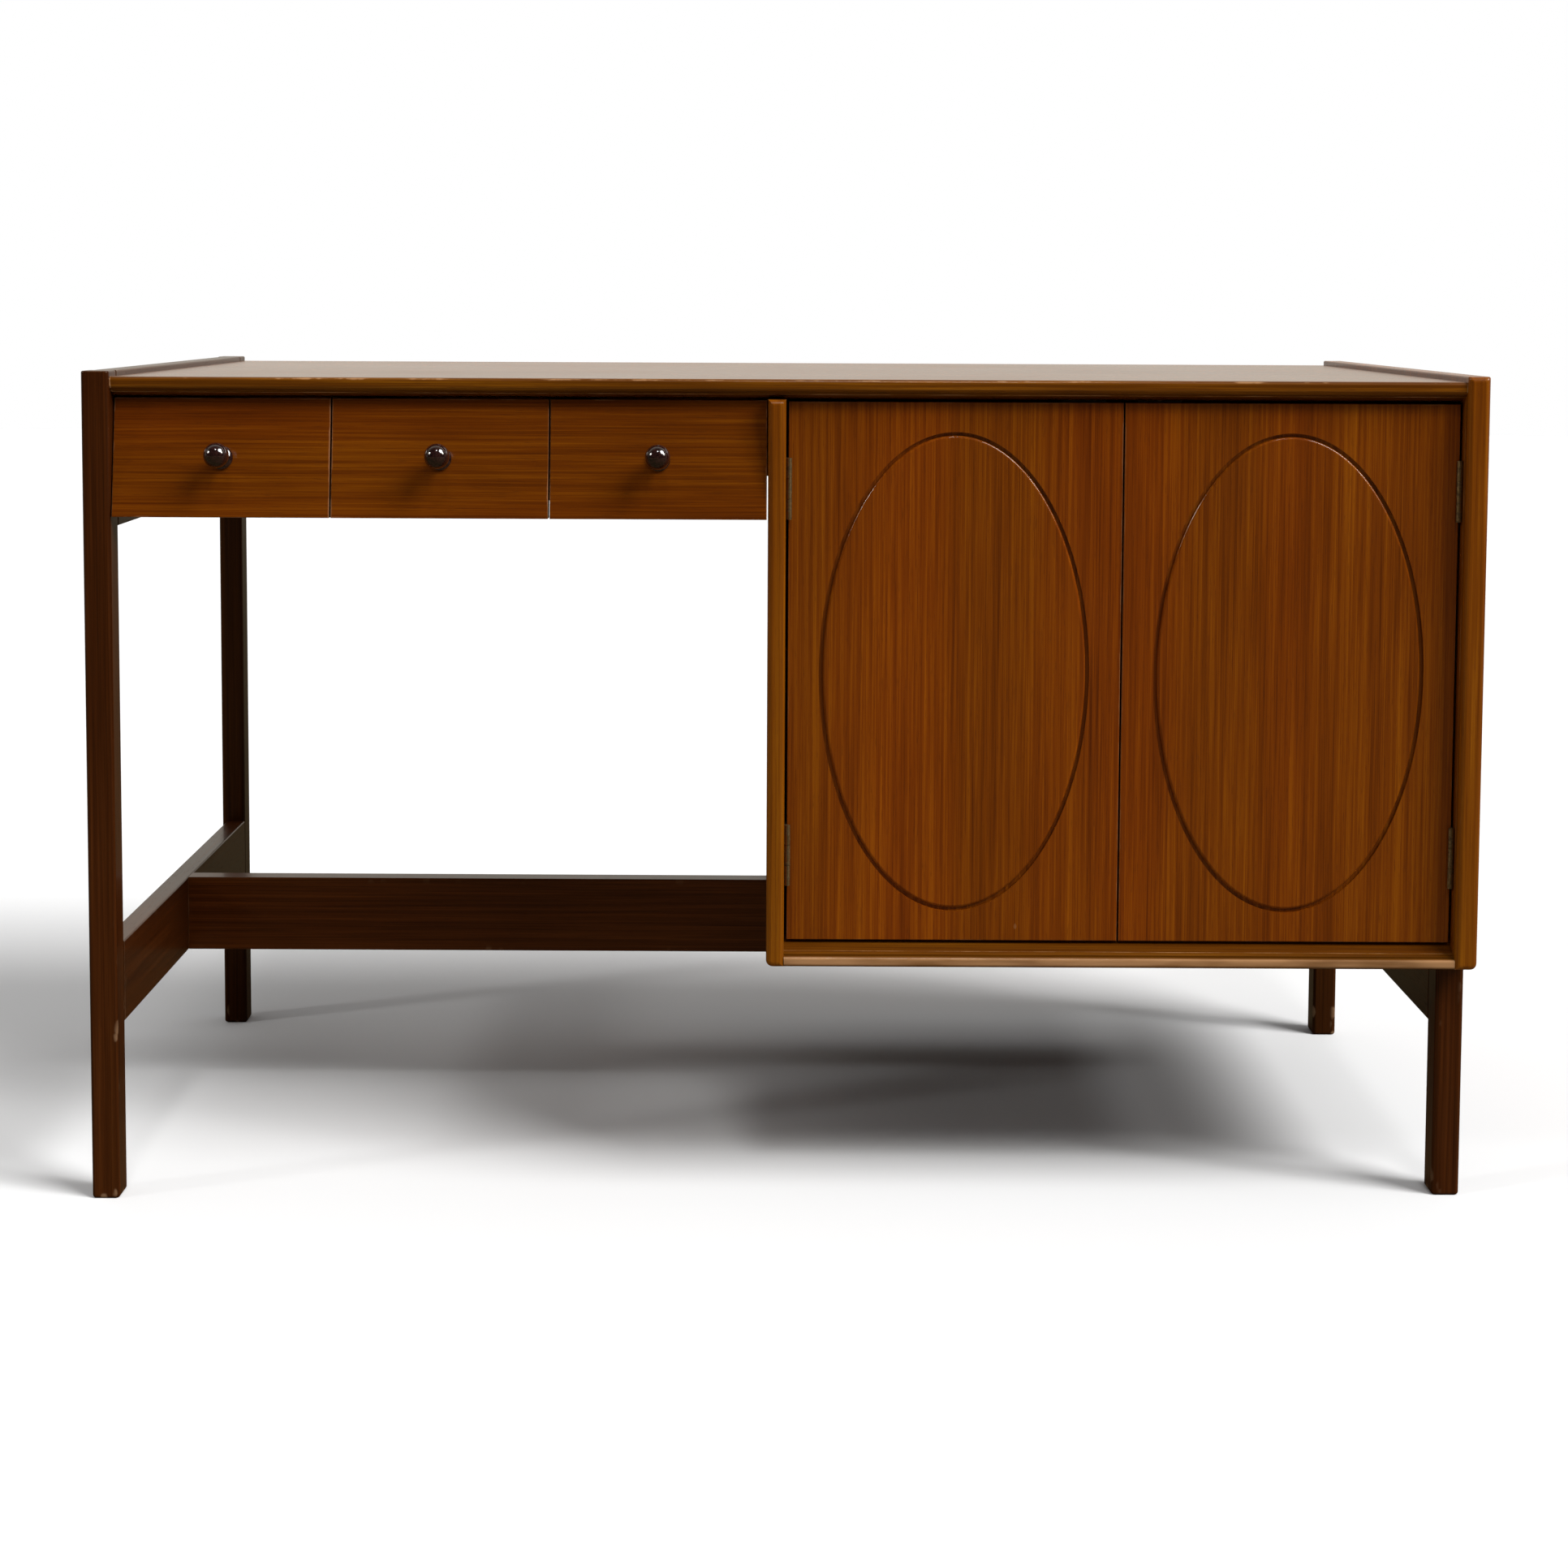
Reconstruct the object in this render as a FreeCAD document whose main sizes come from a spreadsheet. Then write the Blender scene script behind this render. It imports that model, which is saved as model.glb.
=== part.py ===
import FreeCAD, Part
import Sketcher
import os
import re

# A writing desk: a dark-stained open leg frame on the left, a cabinet with two doors on the right,
# a row of three slanted drawers under the top between them, and a stretcher that joins the two ends.
# +X runs to the desk's right, +Y to its back and +Z up. The origin is the centre of the floor area
# that the whole desk covers, knobs included. "Depth" is the distance behind the desk's front plane.

doc = FreeCAD.newDocument("writing_desk")
sheet = doc.addObject("Spreadsheet::Sheet", "dims")

DIMENSIONS = [
    # the whole desk
    ("desk_width", 1250),
    ("desk_depth", 600),
    ("desk_height", 750),
    ("top_drop", 5),            # the two ends stand this much above the writing surface
    ("top_thick", 18),
    ("knee_width", 585),        # between the left legs and the cabinet
    # legs and rails
    ("leg_width", 25),
    ("leg_depth", 30),
    ("leg_round", 4),
    ("foot_round", 3),
    ("crown_round", 1.5),
    ("rail_ease", 1.5),
    ("apron_thick", 21),
    ("apron_tall", 140),
    ("rail_thick", 20),
    ("rail_low", 156),
    ("rail_tall", 74),
    ("stretcher_thick", 22),
    ("stretcher_setback", 289),
    ("short_leg_inset", 4.5),   # the cabinet's legs, in from the end panel's outer face
    ("short_leg_setback", 27),  # and in from the front and the back
    # cabinet
    ("cabinet_low", 216),
    ("floor_thick", 20),
    ("end_thick", 20),
    ("side_thick", 16),
    ("back_thick", 6),
    ("shelf_thick", 18),
    ("shelf_low", 478),
    ("shelf_setback", 60),
    ("shelf_play", 0.5),
    ("corner_round", 6),
    # solid-wood front lippings
    ("side_lipping", 10),
    ("side_nose_round", 5),
    ("top_nose_setback", 4),
    ("top_nose_tall", 11),
    ("top_nose_round", 3.5),
    ("floor_nose_setback", 2),
    ("floor_nose_tall", 9.5),
    ("floor_nose_round", 3.2),
    ("quirk_deep", 4),
    ("quirk_tall", 1.5),
    ("lipping_deep", 8),
    ("bevel_deep", 12),
    ("rear_lipping", 12),
    ("rear_round", 1.75),
    # doors
    ("door_setback", 17),
    ("door_thick", 18),
    ("door_low", 237.5),
    ("door_tall", 487.5),
    ("door_edge_gap", 2.4),
    ("door_meeting_gap", 1.6),
    ("door_ease", 0.8),
    ("oval_half_width", 121.5),
    ("oval_half_height", 217),
    ("groove_wide", 3.2),
    ("groove_deep", 3),
    ("groove_shoulder", 2.4),
    # butt hinges
    ("hinge_tall", 55),
    ("hinge_from_edge", 50.5),
    ("leaf_thick", 1),
    ("knuckle_radius", 2.5),
    ("pin_radius", 1.25),
    ("pin_play", 0.03),
    ("pin_inset", 2.9),
    ("pin_setback", 14.1),
    ("leaf_clear", 0.4),
    ("leaf_wide", 16),
    ("leaf_screw_in", 8.8),     # from the leaf's edge at the knuckle
    ("knuckle_gap", 0.4),
    ("hinge_screw_radius", 1.25),
    ("hinge_screw_head", 2.6),
    ("hinge_screw_long", 12),
    ("hinge_screw_inset", 11),
    # magnetic catches
    ("catch_wide", 40),
    ("catch_deep", 12),
    ("catch_tall", 13),
    ("catch_from_middle", 34),
    ("catch_gap", 0.4),
    ("strike_drop", 2),
    ("strike_radius", 5.5),
    ("strike_thick", 1),
    ("strike_peg_radius", 2),
    ("strike_peg_long", 9),
    ("catch_screw_spread", 30),
    ("catch_screw_radius", 1.5),
    ("catch_screw_long", 24),
    ("catch_screw_head", 3),
    ("catch_screw_head_tall", 1.6),
    # drawers
    ("front_low", 620),
    ("front_tall", 106),
    ("front_thick", 17),
    ("front_top_setback", 17),
    ("front_foot_setback", 0.5),
    ("front_end_gap", 1),
    ("front_gap", 1.6),
    ("front_ease", 0.8),
    ("divider_thick", 10),
    ("divider_low", 634),
    ("divider_setback", 37),
    ("case_back_setback", 576),
    ("case_back_thick", 18),
    ("box_play", 1),
    ("box_wall", 12),
    ("box_low", 634),
    ("box_tall", 78),
    ("box_end", 480),
    ("box_bottom_low", 641),
    ("box_bottom_thick", 5),
    ("box_bottom_housing", 5),
    ("box_back_drop", 8),
    ("slot_low", 668),
    ("slot_tall", 11),
    ("slot_deep", 6),
    ("runner_tall", 10),
    ("runner_reach", 5.4),
    ("runner_start", 45),
    ("runner_end", 570),
    # knobs
    ("knob_ball_radius", 11.25),
    ("knob_ball_out", 22),
    ("knob_foot_radius", 10.5),
    ("knob_foot_tall", 13),
    ("knob_cove_radius", 8),
    ("knob_cove_height", 9.5),
    ("knob_neck_radius", 5),
    ("knob_screw_radius", 2),
    ("knob_screw_depth", 14),
    ("knob_screw_hole", 2.3),
    ("knob_screw_head", 4.5),
    ("knob_screw_head_tall", 2.6),
    # dowels, pegs and screws inside the joints
    ("dowel_radius", 4),
    ("dowel_half", 20),
    ("stretcher_dowel_half", 12),
    ("apron_dowel_in", 30),     # each dowel's height inside its rail's edge
    ("rail_dowel_in", 18),
    ("step_dowel_in", 16),
    ("short_dowel_in", 14),
    ("peg_radius", 2.5),
    ("peg_housing", 9),
    ("peg_reach", 9),
    ("peg_front", 90),
    ("peg_rear", 560),
    ("base_screw_radius", 2.5),
    ("base_screw_head", 5),
    ("base_screw_head_tall", 3.5),
    ("base_screw_counterbore", 25),
    ("base_screw_bite", 15),
    ("end_screw_in", 5),
    ("end_screw_setback", 150),
    ("floor_screw_in", 120.8),
]

DERIVED = [
    ("slant_run", "=front_top_setback - front_foot_setback"),
    ("slant", "=slant_run / front_tall"),
    ("slant_angle", "=atan(slant) / 1deg"),
    ("front_mid", "=(front_top_setback + front_foot_setback) / 2"),
    ("front_square_thick", "=front_thick * cos(slant_angle * 1deg)"),
    ("knob_proud", "=knob_ball_out * cos(slant_angle * 1deg) + knob_ball_radius - front_mid"),
    ("front_y", "=(knob_proud - desk_depth) / 2"),
    ("half_width", "=desk_width / 2"),
    ("surface", "=desk_height - top_drop"),
    ("top_under", "=surface - top_thick"),
    ("knee_left", "=leg_width - half_width"),
    ("side_left", "=knee_left + knee_width"),
    ("bay_left", "=side_left + side_thick"),
    ("bay_right", "=half_width - end_thick"),
    ("bay_middle", "=(bay_left + bay_right) / 2"),
    ("top_wide", "=bay_right - knee_left"),
    ("bay_wide", "=bay_right - bay_left"),
    ("floor_top", "=cabinet_low + floor_thick"),
    ("back_start", "=desk_depth - back_thick"),
    ("short_leg_left", "=half_width - short_leg_inset - leg_width"),
    ("short_leg_rear", "=desk_depth - short_leg_setback - leg_depth"),
    ("rail_top", "=rail_low + rail_tall"),
    ("door_wide", "=(bay_wide - 2 * door_edge_gap - door_meeting_gap) / 2"),
    ("front_wide", "=(knee_width - 2 * front_end_gap - 2 * front_gap) / 3"),
    ("front_pitch", "=front_wide + front_gap"),
    ("first_middle", "=knee_left + front_end_gap + front_wide / 2"),
    ("first_gap", "=knee_left + front_end_gap + front_wide + front_gap / 2"),
    ("box_wide", "=front_pitch - divider_thick - 2 * box_play"),
    ("box_inner", "=box_wide - 2 * box_wall"),
    ("side_foot", "=front_foot_setback + front_thick + slant * (box_low - front_low)"),
    ("side_crown", "=side_foot + slant * box_tall"),
    ("bottom_start", "=side_foot + slant * (box_bottom_low - box_low) - box_bottom_housing"),
    ("runner_low", "=slot_low + (slot_tall - runner_tall) / 2"),
    ("knob_height", "=front_low + front_tall / 2"),
    ("base_screw_long", "=cabinet_low - rail_low - base_screw_counterbore + base_screw_bite"),
    ("peg_height", "=shelf_low - peg_radius"),
    ("catch_start", "=door_setback + door_thick + strike_thick + catch_gap"),
    ("leaf_start", "=pin_setback + knuckle_radius + leaf_clear"),
    ("hinge_third", "=(hinge_tall - 2 * knuckle_gap) / 3"),
    ("hinge_foot_low", "=door_low + hinge_from_edge"),
    ("hinge_head_low", "=door_low + door_tall - hinge_from_edge - hinge_tall"),
]

for row, (alias, value) in enumerate(DIMENSIONS + DERIVED, start=1):
    sheet.set(f"A{row}", alias)
    sheet.set(f"B{row}", str(value))
    sheet.setAlias(f"B{row}", alias)
doc.recompute()

ALIASES = [alias for alias, _ in DIMENSIONS + DERIVED]
AXES = ("x", "y", "z")
TOUCH = 0.01  # two places this close are the same place


def cells(text):
    """Turns words that are aliases of the sheet into references to it."""
    return re.sub(r"[a-z_]+", lambda m: "dims." + m[0] if m[0] in ALIASES else m[0], str(text))


def number(text):
    """The present value of an expression on the sheet."""
    return float(sheet.evalExpression(cells(text)))


def bind(thing, **expressions):
    """Ties properties of an object to expressions on the sheet."""
    for name, text in expressions.items():
        thing.setExpression(name, cells(text))


def place(thing, x="0", y="0", z="0"):
    """Ties the place of an object to the sheet; y is counted from the desk's front plane."""
    thing.setExpression("Placement.Base.x", cells(x))
    thing.setExpression("Placement.Base.y", cells(f"front_y + {y}"))
    thing.setExpression("Placement.Base.z", cells(z))


# ---------------------------------------------------------------- solids of one kind each

def box(label, x, y, z):
    """A plain board from x, y and z pairs of (start, length)."""
    thing = doc.addObject("Part::Box", label)
    thing.Label = label
    bind(thing, Length=x[1], Width=y[1], Height=z[1])
    place(thing, x[0], y[0], z[0])
    return thing


def rod(label, radius, length, x="0", y="0", z="0", along="z"):
    """A round bar that starts at a point and runs along one axis."""
    thing = doc.addObject("Part::Cylinder", label)
    thing.Label = label
    bind(thing, Radius=radius, Height=length)
    turn_to(thing, along)
    place(thing, x, y, z)
    return thing


def taper(label, radii, length, x="0", y="0", z="0", along="z"):
    """A round taper that starts at a point and runs along one axis."""
    thing = doc.addObject("Part::Cone", label)
    thing.Label = label
    bind(thing, Radius1=radii[0], Radius2=radii[1], Height=length)
    turn_to(thing, along)
    place(thing, x, y, z)
    return thing


def turn_to(thing, along):
    """Turns a solid that was made along +Z; a leading minus points it the other way."""
    target = FreeCAD.Vector(*[float(along[-1] == axis) for axis in AXES])
    if along.startswith("-"):
        target = target * -1
    thing.Placement.Rotation = FreeCAD.Rotation(FreeCAD.Vector(0, 0, 1), target)


def join(label, things):
    """One solid, or one tool, from several solids."""
    fused = doc.addObject("Part::MultiFuse", label)
    fused.Label = label
    fused.Shapes = things
    return fused


def cut(label, base, tools):
    """The base with every tool taken out of it."""
    whole = doc.addObject("Part::Cut", label)
    whole.Label = label
    whole.Base = base
    whole.Tool = tools[0] if len(tools) == 1 else join(label + "_cutters", tools)
    return whole


def group(label, things):
    """Several separate solids of one kind, kept together."""
    together = doc.addObject("Part::Compound", label)
    together.Label = label
    together.Links = things
    return together


# ---------------------------------------------------------------- bodies from sketches

def profile_body(label, plane, corners, length, reverse=False):
    """A body whose outline, on one origin plane, has each corner dimensioned from the sheet."""
    body = doc.addObject("PartDesign::Body", label)
    body.Label = label
    sketch = body.newObject("Sketcher::SketchObject", label + "_outline")
    support = next(item for item in body.Origin.OriginFeatures if item.Role == plane)
    sketch.AttachmentSupport = [(support, "")]
    sketch.MapMode = "FlatFace"
    points = [FreeCAD.Vector(number(across), number(up), 0) for across, up in corners]
    for index, point in enumerate(points):
        sketch.addGeometry(Part.LineSegment(point, points[(index + 1) % len(points)]), False)
    for index in range(len(points)):
        sketch.addConstraint(Sketcher.Constraint("Coincident", index, 2, (index + 1) % len(points), 1))
    for index, (across, up) in enumerate(corners):
        for kind, text in (("DistanceX", across), ("DistanceY", up)):
            hold = sketch.addConstraint(Sketcher.Constraint(kind, -1, 1, index, 1, number(text)))
            sketch.setExpression(f"Constraints[{hold}]", cells(text))
    pad = body.newObject("PartDesign::Pad", label + "_pad")
    pad.Profile = sketch
    pad.Reversed = reverse
    bind(pad, Length=length)
    doc.recompute()
    return body


def rectangle(across, up):
    """The four corners of a rectangle from two (start, end) pairs."""
    return [(across[0], up[0]), (across[1], up[0]), (across[1], up[1]), (across[0], up[1])]


def plank(label, x, y, z):
    """A squared piece of solid wood from x, y and z pairs of (start, length)."""
    body = profile_body(label, "XY_Plane", rectangle(("0", x[1]), ("0", y[1])), z[1])
    place(body, x[0], y[0], z[0])
    doc.recompute()
    return body


def extent(edge):
    """The lowest and highest x, y and z of an edge."""
    room = edge.BoundBox
    return (room.XMin, room.YMin, room.ZMin), (room.XMax, room.YMax, room.ZMax)


def runs(axis):
    """Picks the straight edges that run along an axis."""
    def wanted(edge):
        low, high = extent(edge)
        return all(high[i] - low[i] < TOUCH for i in range(3) if AXES[i] != axis)
    return wanted


def level(axis, height):
    """Picks the edges that lie at one height on an axis."""
    def wanted(edge):
        low, high = extent(edge)
        index = AXES.index(axis)
        return abs(low[index] - number(height)) < TOUCH and abs(high[index] - number(height)) < TOUCH
    return wanted


def both(*tests):
    """Picks the edges that pass every test."""
    return lambda edge: all(test(edge) for test in tests)


def ease(body, radius, wanted):
    """Rounds the edges of a body that a test picks; heights are in the body's own frame."""
    base = body.Tip
    names = [f"Edge{n}" for n, edge in enumerate(base.Shape.Edges, start=1) if wanted(edge)]
    fillet = body.newObject("PartDesign::Fillet", f"{body.Name}_ease")
    fillet.Base = (base, names)
    bind(fillet, Radius=radius)
    doc.recompute()
    return body


parts = []


def keep(thing):
    """Adds a finished piece to those that are written out."""
    parts.append(thing)
    return thing


# ---------------------------------------------------------------- dowels and long screws

LEFT_RAIL_MIDDLE = "knee_left - rail_thick / 2"
LEFT_FACES = ("leg_depth", "desk_depth - leg_depth")
RIGHT_FACES = ("short_leg_setback + leg_depth", "short_leg_rear")


def dowel_rows(heights, x, faces):
    """The height, x and joint face of each dowel of one rail."""
    return [(height, x, face) for height in heights for face in faces]


APRON_DOWELS = dowel_rows(("desk_height - apron_tall + apron_dowel_in", "desk_height - apron_dowel_in"),
                          LEFT_RAIL_MIDDLE, LEFT_FACES)
LEFT_RAIL_DOWELS = dowel_rows(("rail_low + rail_dowel_in", "rail_top - rail_dowel_in"),
                              LEFT_RAIL_MIDDLE, LEFT_FACES)
RIGHT_RAIL_DOWELS = dowel_rows(("rail_low + short_dowel_in", "cabinet_low - short_dowel_in"),
                               "short_leg_left + rail_thick / 2", RIGHT_FACES)
SIDE_DOWELS = LEFT_RAIL_DOWELS + APRON_DOWELS + RIGHT_RAIL_DOWELS
STRETCHER_DOWELS = [
    # height and x of the joint face of the long stretcher's dowels
    ("rail_low + rail_dowel_in", "knee_left"),
    ("rail_top - rail_dowel_in", "knee_left"),
    ("rail_low + step_dowel_in", "short_leg_left"),
    ("cabinet_low - step_dowel_in", "short_leg_left"),
]
STRETCHER_MIDDLE = "stretcher_setback + stretcher_thick / 2"
END_SCREW_X = "bay_right + end_screw_in"
BASE_SCREWS = [
    (END_SCREW_X, "end_screw_setback"),
    (END_SCREW_X, "desk_depth - end_screw_setback"),
    ("bay_left + floor_screw_in", STRETCHER_MIDDLE),
    ("bay_middle", STRETCHER_MIDDLE),
    ("bay_right - floor_screw_in", STRETCHER_MIDDLE),
]


def frame_dowel(label, row):
    """A dowel, or its hole, across a joint between a leg and a rail."""
    height, x, face = row
    return rod(label, "dowel_radius", "2 * dowel_half", x, f"{face} - dowel_half", height, "y")


def stretcher_dowel(label, row):
    """A dowel, or its hole, at an end of the long stretcher."""
    height, x = row
    return rod(label, "dowel_radius", "2 * stretcher_dowel_half", f"{x} - stretcher_dowel_half",
               STRETCHER_MIDDLE, height, "x")


def base_screw(label, spot, mouth="0"):
    """A screw driven up from a counterbore; mouth lengthens the head down to the surface."""
    x, y = spot
    low = "rail_low + base_screw_counterbore"
    head = rod(label + "_head", "base_screw_head", f"base_screw_head_tall + {mouth}",
               x, y, f"{low} - {mouth}")
    shank = rod(label + "_shank", "base_screw_radius", "base_screw_long", x, y, low)
    return join(label, [head, shank])


def screw_hole(label, spot):
    """The counterbored hole of a base screw, open below."""
    return base_screw(label, spot, mouth="base_screw_counterbore")


# ---------------------------------------------------------------- the open leg frame

def leg(label, x, y, height, rows, rounded_top):
    """A leg with rounded corners and foot, drilled for its dowels."""
    body = profile_body(label + "_blank", "XY_Plane",
                        rectangle(("0", "leg_width"), ("0", "leg_depth")), height)
    ease(body, "leg_round", runs("z"))
    ease(body, "foot_round", level("z", "0"))
    if rounded_top:
        ease(body, "crown_round", level("z", height))
    place(body, x, y, "0")
    holes = [frame_dowel(f"{label}_hole_{n}", row) for n, row in enumerate(rows, start=1)]
    return keep(cut(label, body, holes))


def rows_at(face):
    """The dowels whose joint face is at one depth."""
    return [row for row in SIDE_DOWELS if row[2] == face]


leg("left_front_leg", "-half_width", "0", "desk_height", rows_at(LEFT_FACES[0]), True)
leg("left_rear_leg", "-half_width", "desk_depth - leg_depth", "desk_height", rows_at(LEFT_FACES[1]), True)
leg("right_front_leg", "short_leg_left", "short_leg_setback", "cabinet_low", rows_at(RIGHT_FACES[0]), False)
leg("right_rear_leg", "short_leg_left", "short_leg_rear", "cabinet_low", rows_at(RIGHT_FACES[1]), False)


def rail(label, x, y, z, rows, more_holes=()):
    """A rail between two legs with eased long edges, drilled for its dowels."""
    body = plank(label + "_blank", x, y, z)
    ease(body, "rail_ease", runs("y"))
    holes = [frame_dowel(f"{label}_hole_{n}", row) for n, row in enumerate(rows, start=1)]
    return keep(cut(label, body, holes + list(more_holes)))


between_legs = ("leg_depth", "desk_depth - 2 * leg_depth")
rail("left_side_apron", ("knee_left - apron_thick", "apron_thick"), between_legs,
     ("desk_height - apron_tall", "apron_tall"), APRON_DOWELS)
rail("left_side_stretcher", ("knee_left - rail_thick", "rail_thick"), between_legs,
     ("rail_low", "rail_tall"), LEFT_RAIL_DOWELS,
     [stretcher_dowel(f"side_stretcher_hole_{n}", row)
      for n, row in enumerate(STRETCHER_DOWELS[:2], start=1)])
rail("right_side_rail", ("short_leg_left", "rail_thick"),
     ("short_leg_setback + leg_depth", "short_leg_rear - short_leg_setback - leg_depth"),
     ("rail_low", "cabinet_low - rail_low"), RIGHT_RAIL_DOWELS,
     [stretcher_dowel(f"side_rail_hole_{n}", row)
      for n, row in enumerate(STRETCHER_DOWELS[2:], start=1)]
     + [screw_hole(f"side_rail_bore_{n}", spot) for n, spot in enumerate(BASE_SCREWS[:2], start=1)])

# The long stretcher is stepped down where it passes under the cabinet.
stretcher = profile_body("long_stretcher_blank", "XZ_Plane", [
    ("knee_left", "rail_low"),
    ("short_leg_left", "rail_low"),
    ("short_leg_left", "cabinet_low"),
    ("side_left", "cabinet_low"),
    ("side_left", "rail_top"),
    ("knee_left", "rail_top"),
], "stretcher_thick", reverse=True)
ease(stretcher, "rail_ease", both(runs("x"), lambda edge: not level("z", "cabinet_low")(edge)))
place(stretcher, "0", "stretcher_setback", "0")
keep(cut("long_stretcher", stretcher,
         [stretcher_dowel(f"stretcher_hole_{n}", row)
          for n, row in enumerate(STRETCHER_DOWELS, start=1)]
         + [screw_hole(f"stretcher_bore_{n}", spot)
            for n, spot in enumerate(BASE_SCREWS[2:], start=1)]))

keep(group("frame_dowels",
           [frame_dowel(f"dowel_{n}", row) for n, row in enumerate(SIDE_DOWELS, start=1)]
           + [stretcher_dowel(f"stretcher_dowel_{n}", row)
              for n, row in enumerate(STRETCHER_DOWELS, start=1)]))
keep(group("base_screws",
           [base_screw(f"base_screw_{n}", spot) for n, spot in enumerate(BASE_SCREWS, start=1)]))

# ---------------------------------------------------------------- top

TOP_NOSE_LOW = "surface - top_nose_tall"
TOP_BEVEL_HEAD = f"{TOP_NOSE_LOW} - quirk_tall"
TOP_BEVEL_DROP = f"({TOP_BEVEL_HEAD} - top_under) / (bevel_deep + lipping_deep - quirk_deep)"
TOP_JOINT = "top_nose_setback + lipping_deep"
TOP_JOINT_LOW = f"{TOP_BEVEL_HEAD} - {TOP_BEVEL_DROP} * (lipping_deep - quirk_deep)"


def hinge_side_x(side, offset):
    """An x that lies a distance inside the cabinet's left (-1) or right (+1) wall."""
    return f"bay_left + {offset}" if side < 0 else f"bay_right - ({offset})"


def catch_screw(label, side, end):
    """A screw up through a catch into the top."""
    x = f"bay_middle + {side} * catch_from_middle + {end} * catch_screw_spread / 2"
    y = "catch_start + catch_deep / 2"
    low = "top_under - catch_tall"
    shank = rod(label + "_shank", "catch_screw_radius", "catch_screw_long", x, y, low)
    head = rod(label + "_head", "catch_screw_head", "catch_screw_head_tall",
               x, y, f"{low} - catch_screw_head_tall")
    return join(label, [shank, head])


catch_spots = [(side, end) for side in (-1, 1) for end in (-1, 1)]
board = profile_body("desk_top_blank", "YZ_Plane", [
    (TOP_JOINT, TOP_JOINT_LOW),
    (f"{TOP_JOINT} + bevel_deep", "top_under"),
    ("desk_depth - rear_lipping", "top_under"),
    ("desk_depth - rear_lipping", "surface"),
    (TOP_JOINT, "surface"),
], "top_wide")
place(board, "knee_left", "0", "0")
keep(cut("desk_top", board,
         [catch_screw(f"top_pilot_{n}", *spot) for n, spot in enumerate(catch_spots, start=1)]))

nose = profile_body("desk_top_front_lipping", "YZ_Plane", [
    ("top_nose_setback", TOP_NOSE_LOW),
    ("top_nose_setback + quirk_deep", TOP_NOSE_LOW),
    ("top_nose_setback + quirk_deep", TOP_BEVEL_HEAD),
    (TOP_JOINT, TOP_JOINT_LOW),
    (TOP_JOINT, "surface"),
    ("top_nose_setback", "surface"),
], "top_wide")
ease(nose, "top_nose_round", both(runs("x"), level("y", "top_nose_setback")))
place(nose, "knee_left", "0", "0")
keep(nose)

rear = plank("desk_top_rear_lipping", ("knee_left", "top_wide"),
             ("desk_depth - rear_lipping", "rear_lipping"), ("top_under", "top_thick"))
ease(rear, "rear_round", both(runs("x"), level("y", "rear_lipping")))
keep(rear)

# ---------------------------------------------------------------- cabinet

HINGE_LOWS = ("hinge_foot_low", "hinge_head_low")
SCREW_HEIGHTS = ("hinge_screw_inset", "hinge_tall - hinge_screw_inset")
LEAF_SCREW_DEPTH = "leaf_start + leaf_screw_in"


def wall_screw(label, side, height):
    """A countersunk screw that holds a hinge's fixed leaf to a cabinet wall."""
    face = hinge_side_x(side, "leaf_thick")
    way = "x" if side > 0 else "-x"
    head = taper(label + "_head", ("hinge_screw_head", "hinge_screw_radius"), "leaf_thick",
                 face, LEAF_SCREW_DEPTH, height, way)
    shank = rod(label + "_shank", "hinge_screw_radius", "hinge_screw_long",
                face, LEAF_SCREW_DEPTH, height, way)
    return join(label, [head, shank])


def peg(label, side, y):
    """A shelf peg, half in a cabinet wall and half under the shelf."""
    start = "bay_left - peg_housing" if side < 0 else "bay_right - peg_reach"
    return rod(label, "peg_radius", "peg_housing + peg_reach", start, y, "peg_height", "x")


def wall_tools(label, side):
    """Everything that is drilled into one cabinet wall."""
    screws = [wall_screw(f"{label}_pilot_{low}_{n}", side, f"{low} + {height}")
              for low in HINGE_LOWS for n, height in enumerate(SCREW_HEIGHTS, start=1)]
    pegs = [peg(f"{label}_{y}_hole", side, y) for y in ("peg_front", "peg_rear")]
    return screws + pegs


end_body = plank("cabinet_right_side_blank", ("bay_right", "end_thick"),
                 ("side_lipping", "desk_depth - side_lipping"),
                 ("cabinet_low", "desk_height - cabinet_low"))
ease(end_body, "corner_round", both(runs("y"), level("x", "end_thick"), level("z", "0")))
ease(end_body, "crown_round", both(runs("y"), level("z", "desk_height - cabinet_low")))
keep(cut("cabinet_right_side", end_body, wall_tools("right_wall", 1)
         + [base_screw(f"right_wall_bore_{n}", spot)
            for n, spot in enumerate(BASE_SCREWS[:2], start=1)]))

end_nose = plank("right_side_front_lipping", ("bay_right", "end_thick"), ("0", "side_lipping"),
                 ("cabinet_low", "desk_height - cabinet_low"))
ease(end_nose, "corner_round", both(runs("y"), level("x", "end_thick"), level("z", "0")))
ease(end_nose, "crown_round", both(runs("y"), level("z", "desk_height - cabinet_low")))
ease(end_nose, "side_nose_round", level("y", "0"))
keep(end_nose)

side_body = plank("cabinet_left_side_blank", ("side_left", "side_thick"),
                  ("side_lipping", "desk_depth - side_lipping"),
                  ("cabinet_low", "top_under - cabinet_low"))
ease(side_body, "corner_round", both(runs("y"), level("x", "0"), level("z", "0")))
keep(cut("cabinet_left_side", side_body, wall_tools("left_wall", -1)))

side_nose = plank("left_side_front_lipping", ("side_left", "side_thick"), ("0", "side_lipping"),
                  ("cabinet_low", "top_under - cabinet_low"))
ease(side_nose, "corner_round", both(runs("y"), level("x", "0"), level("z", "0")))
ease(side_nose, "side_nose_round", level("y", "0"))
keep(side_nose)

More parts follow.
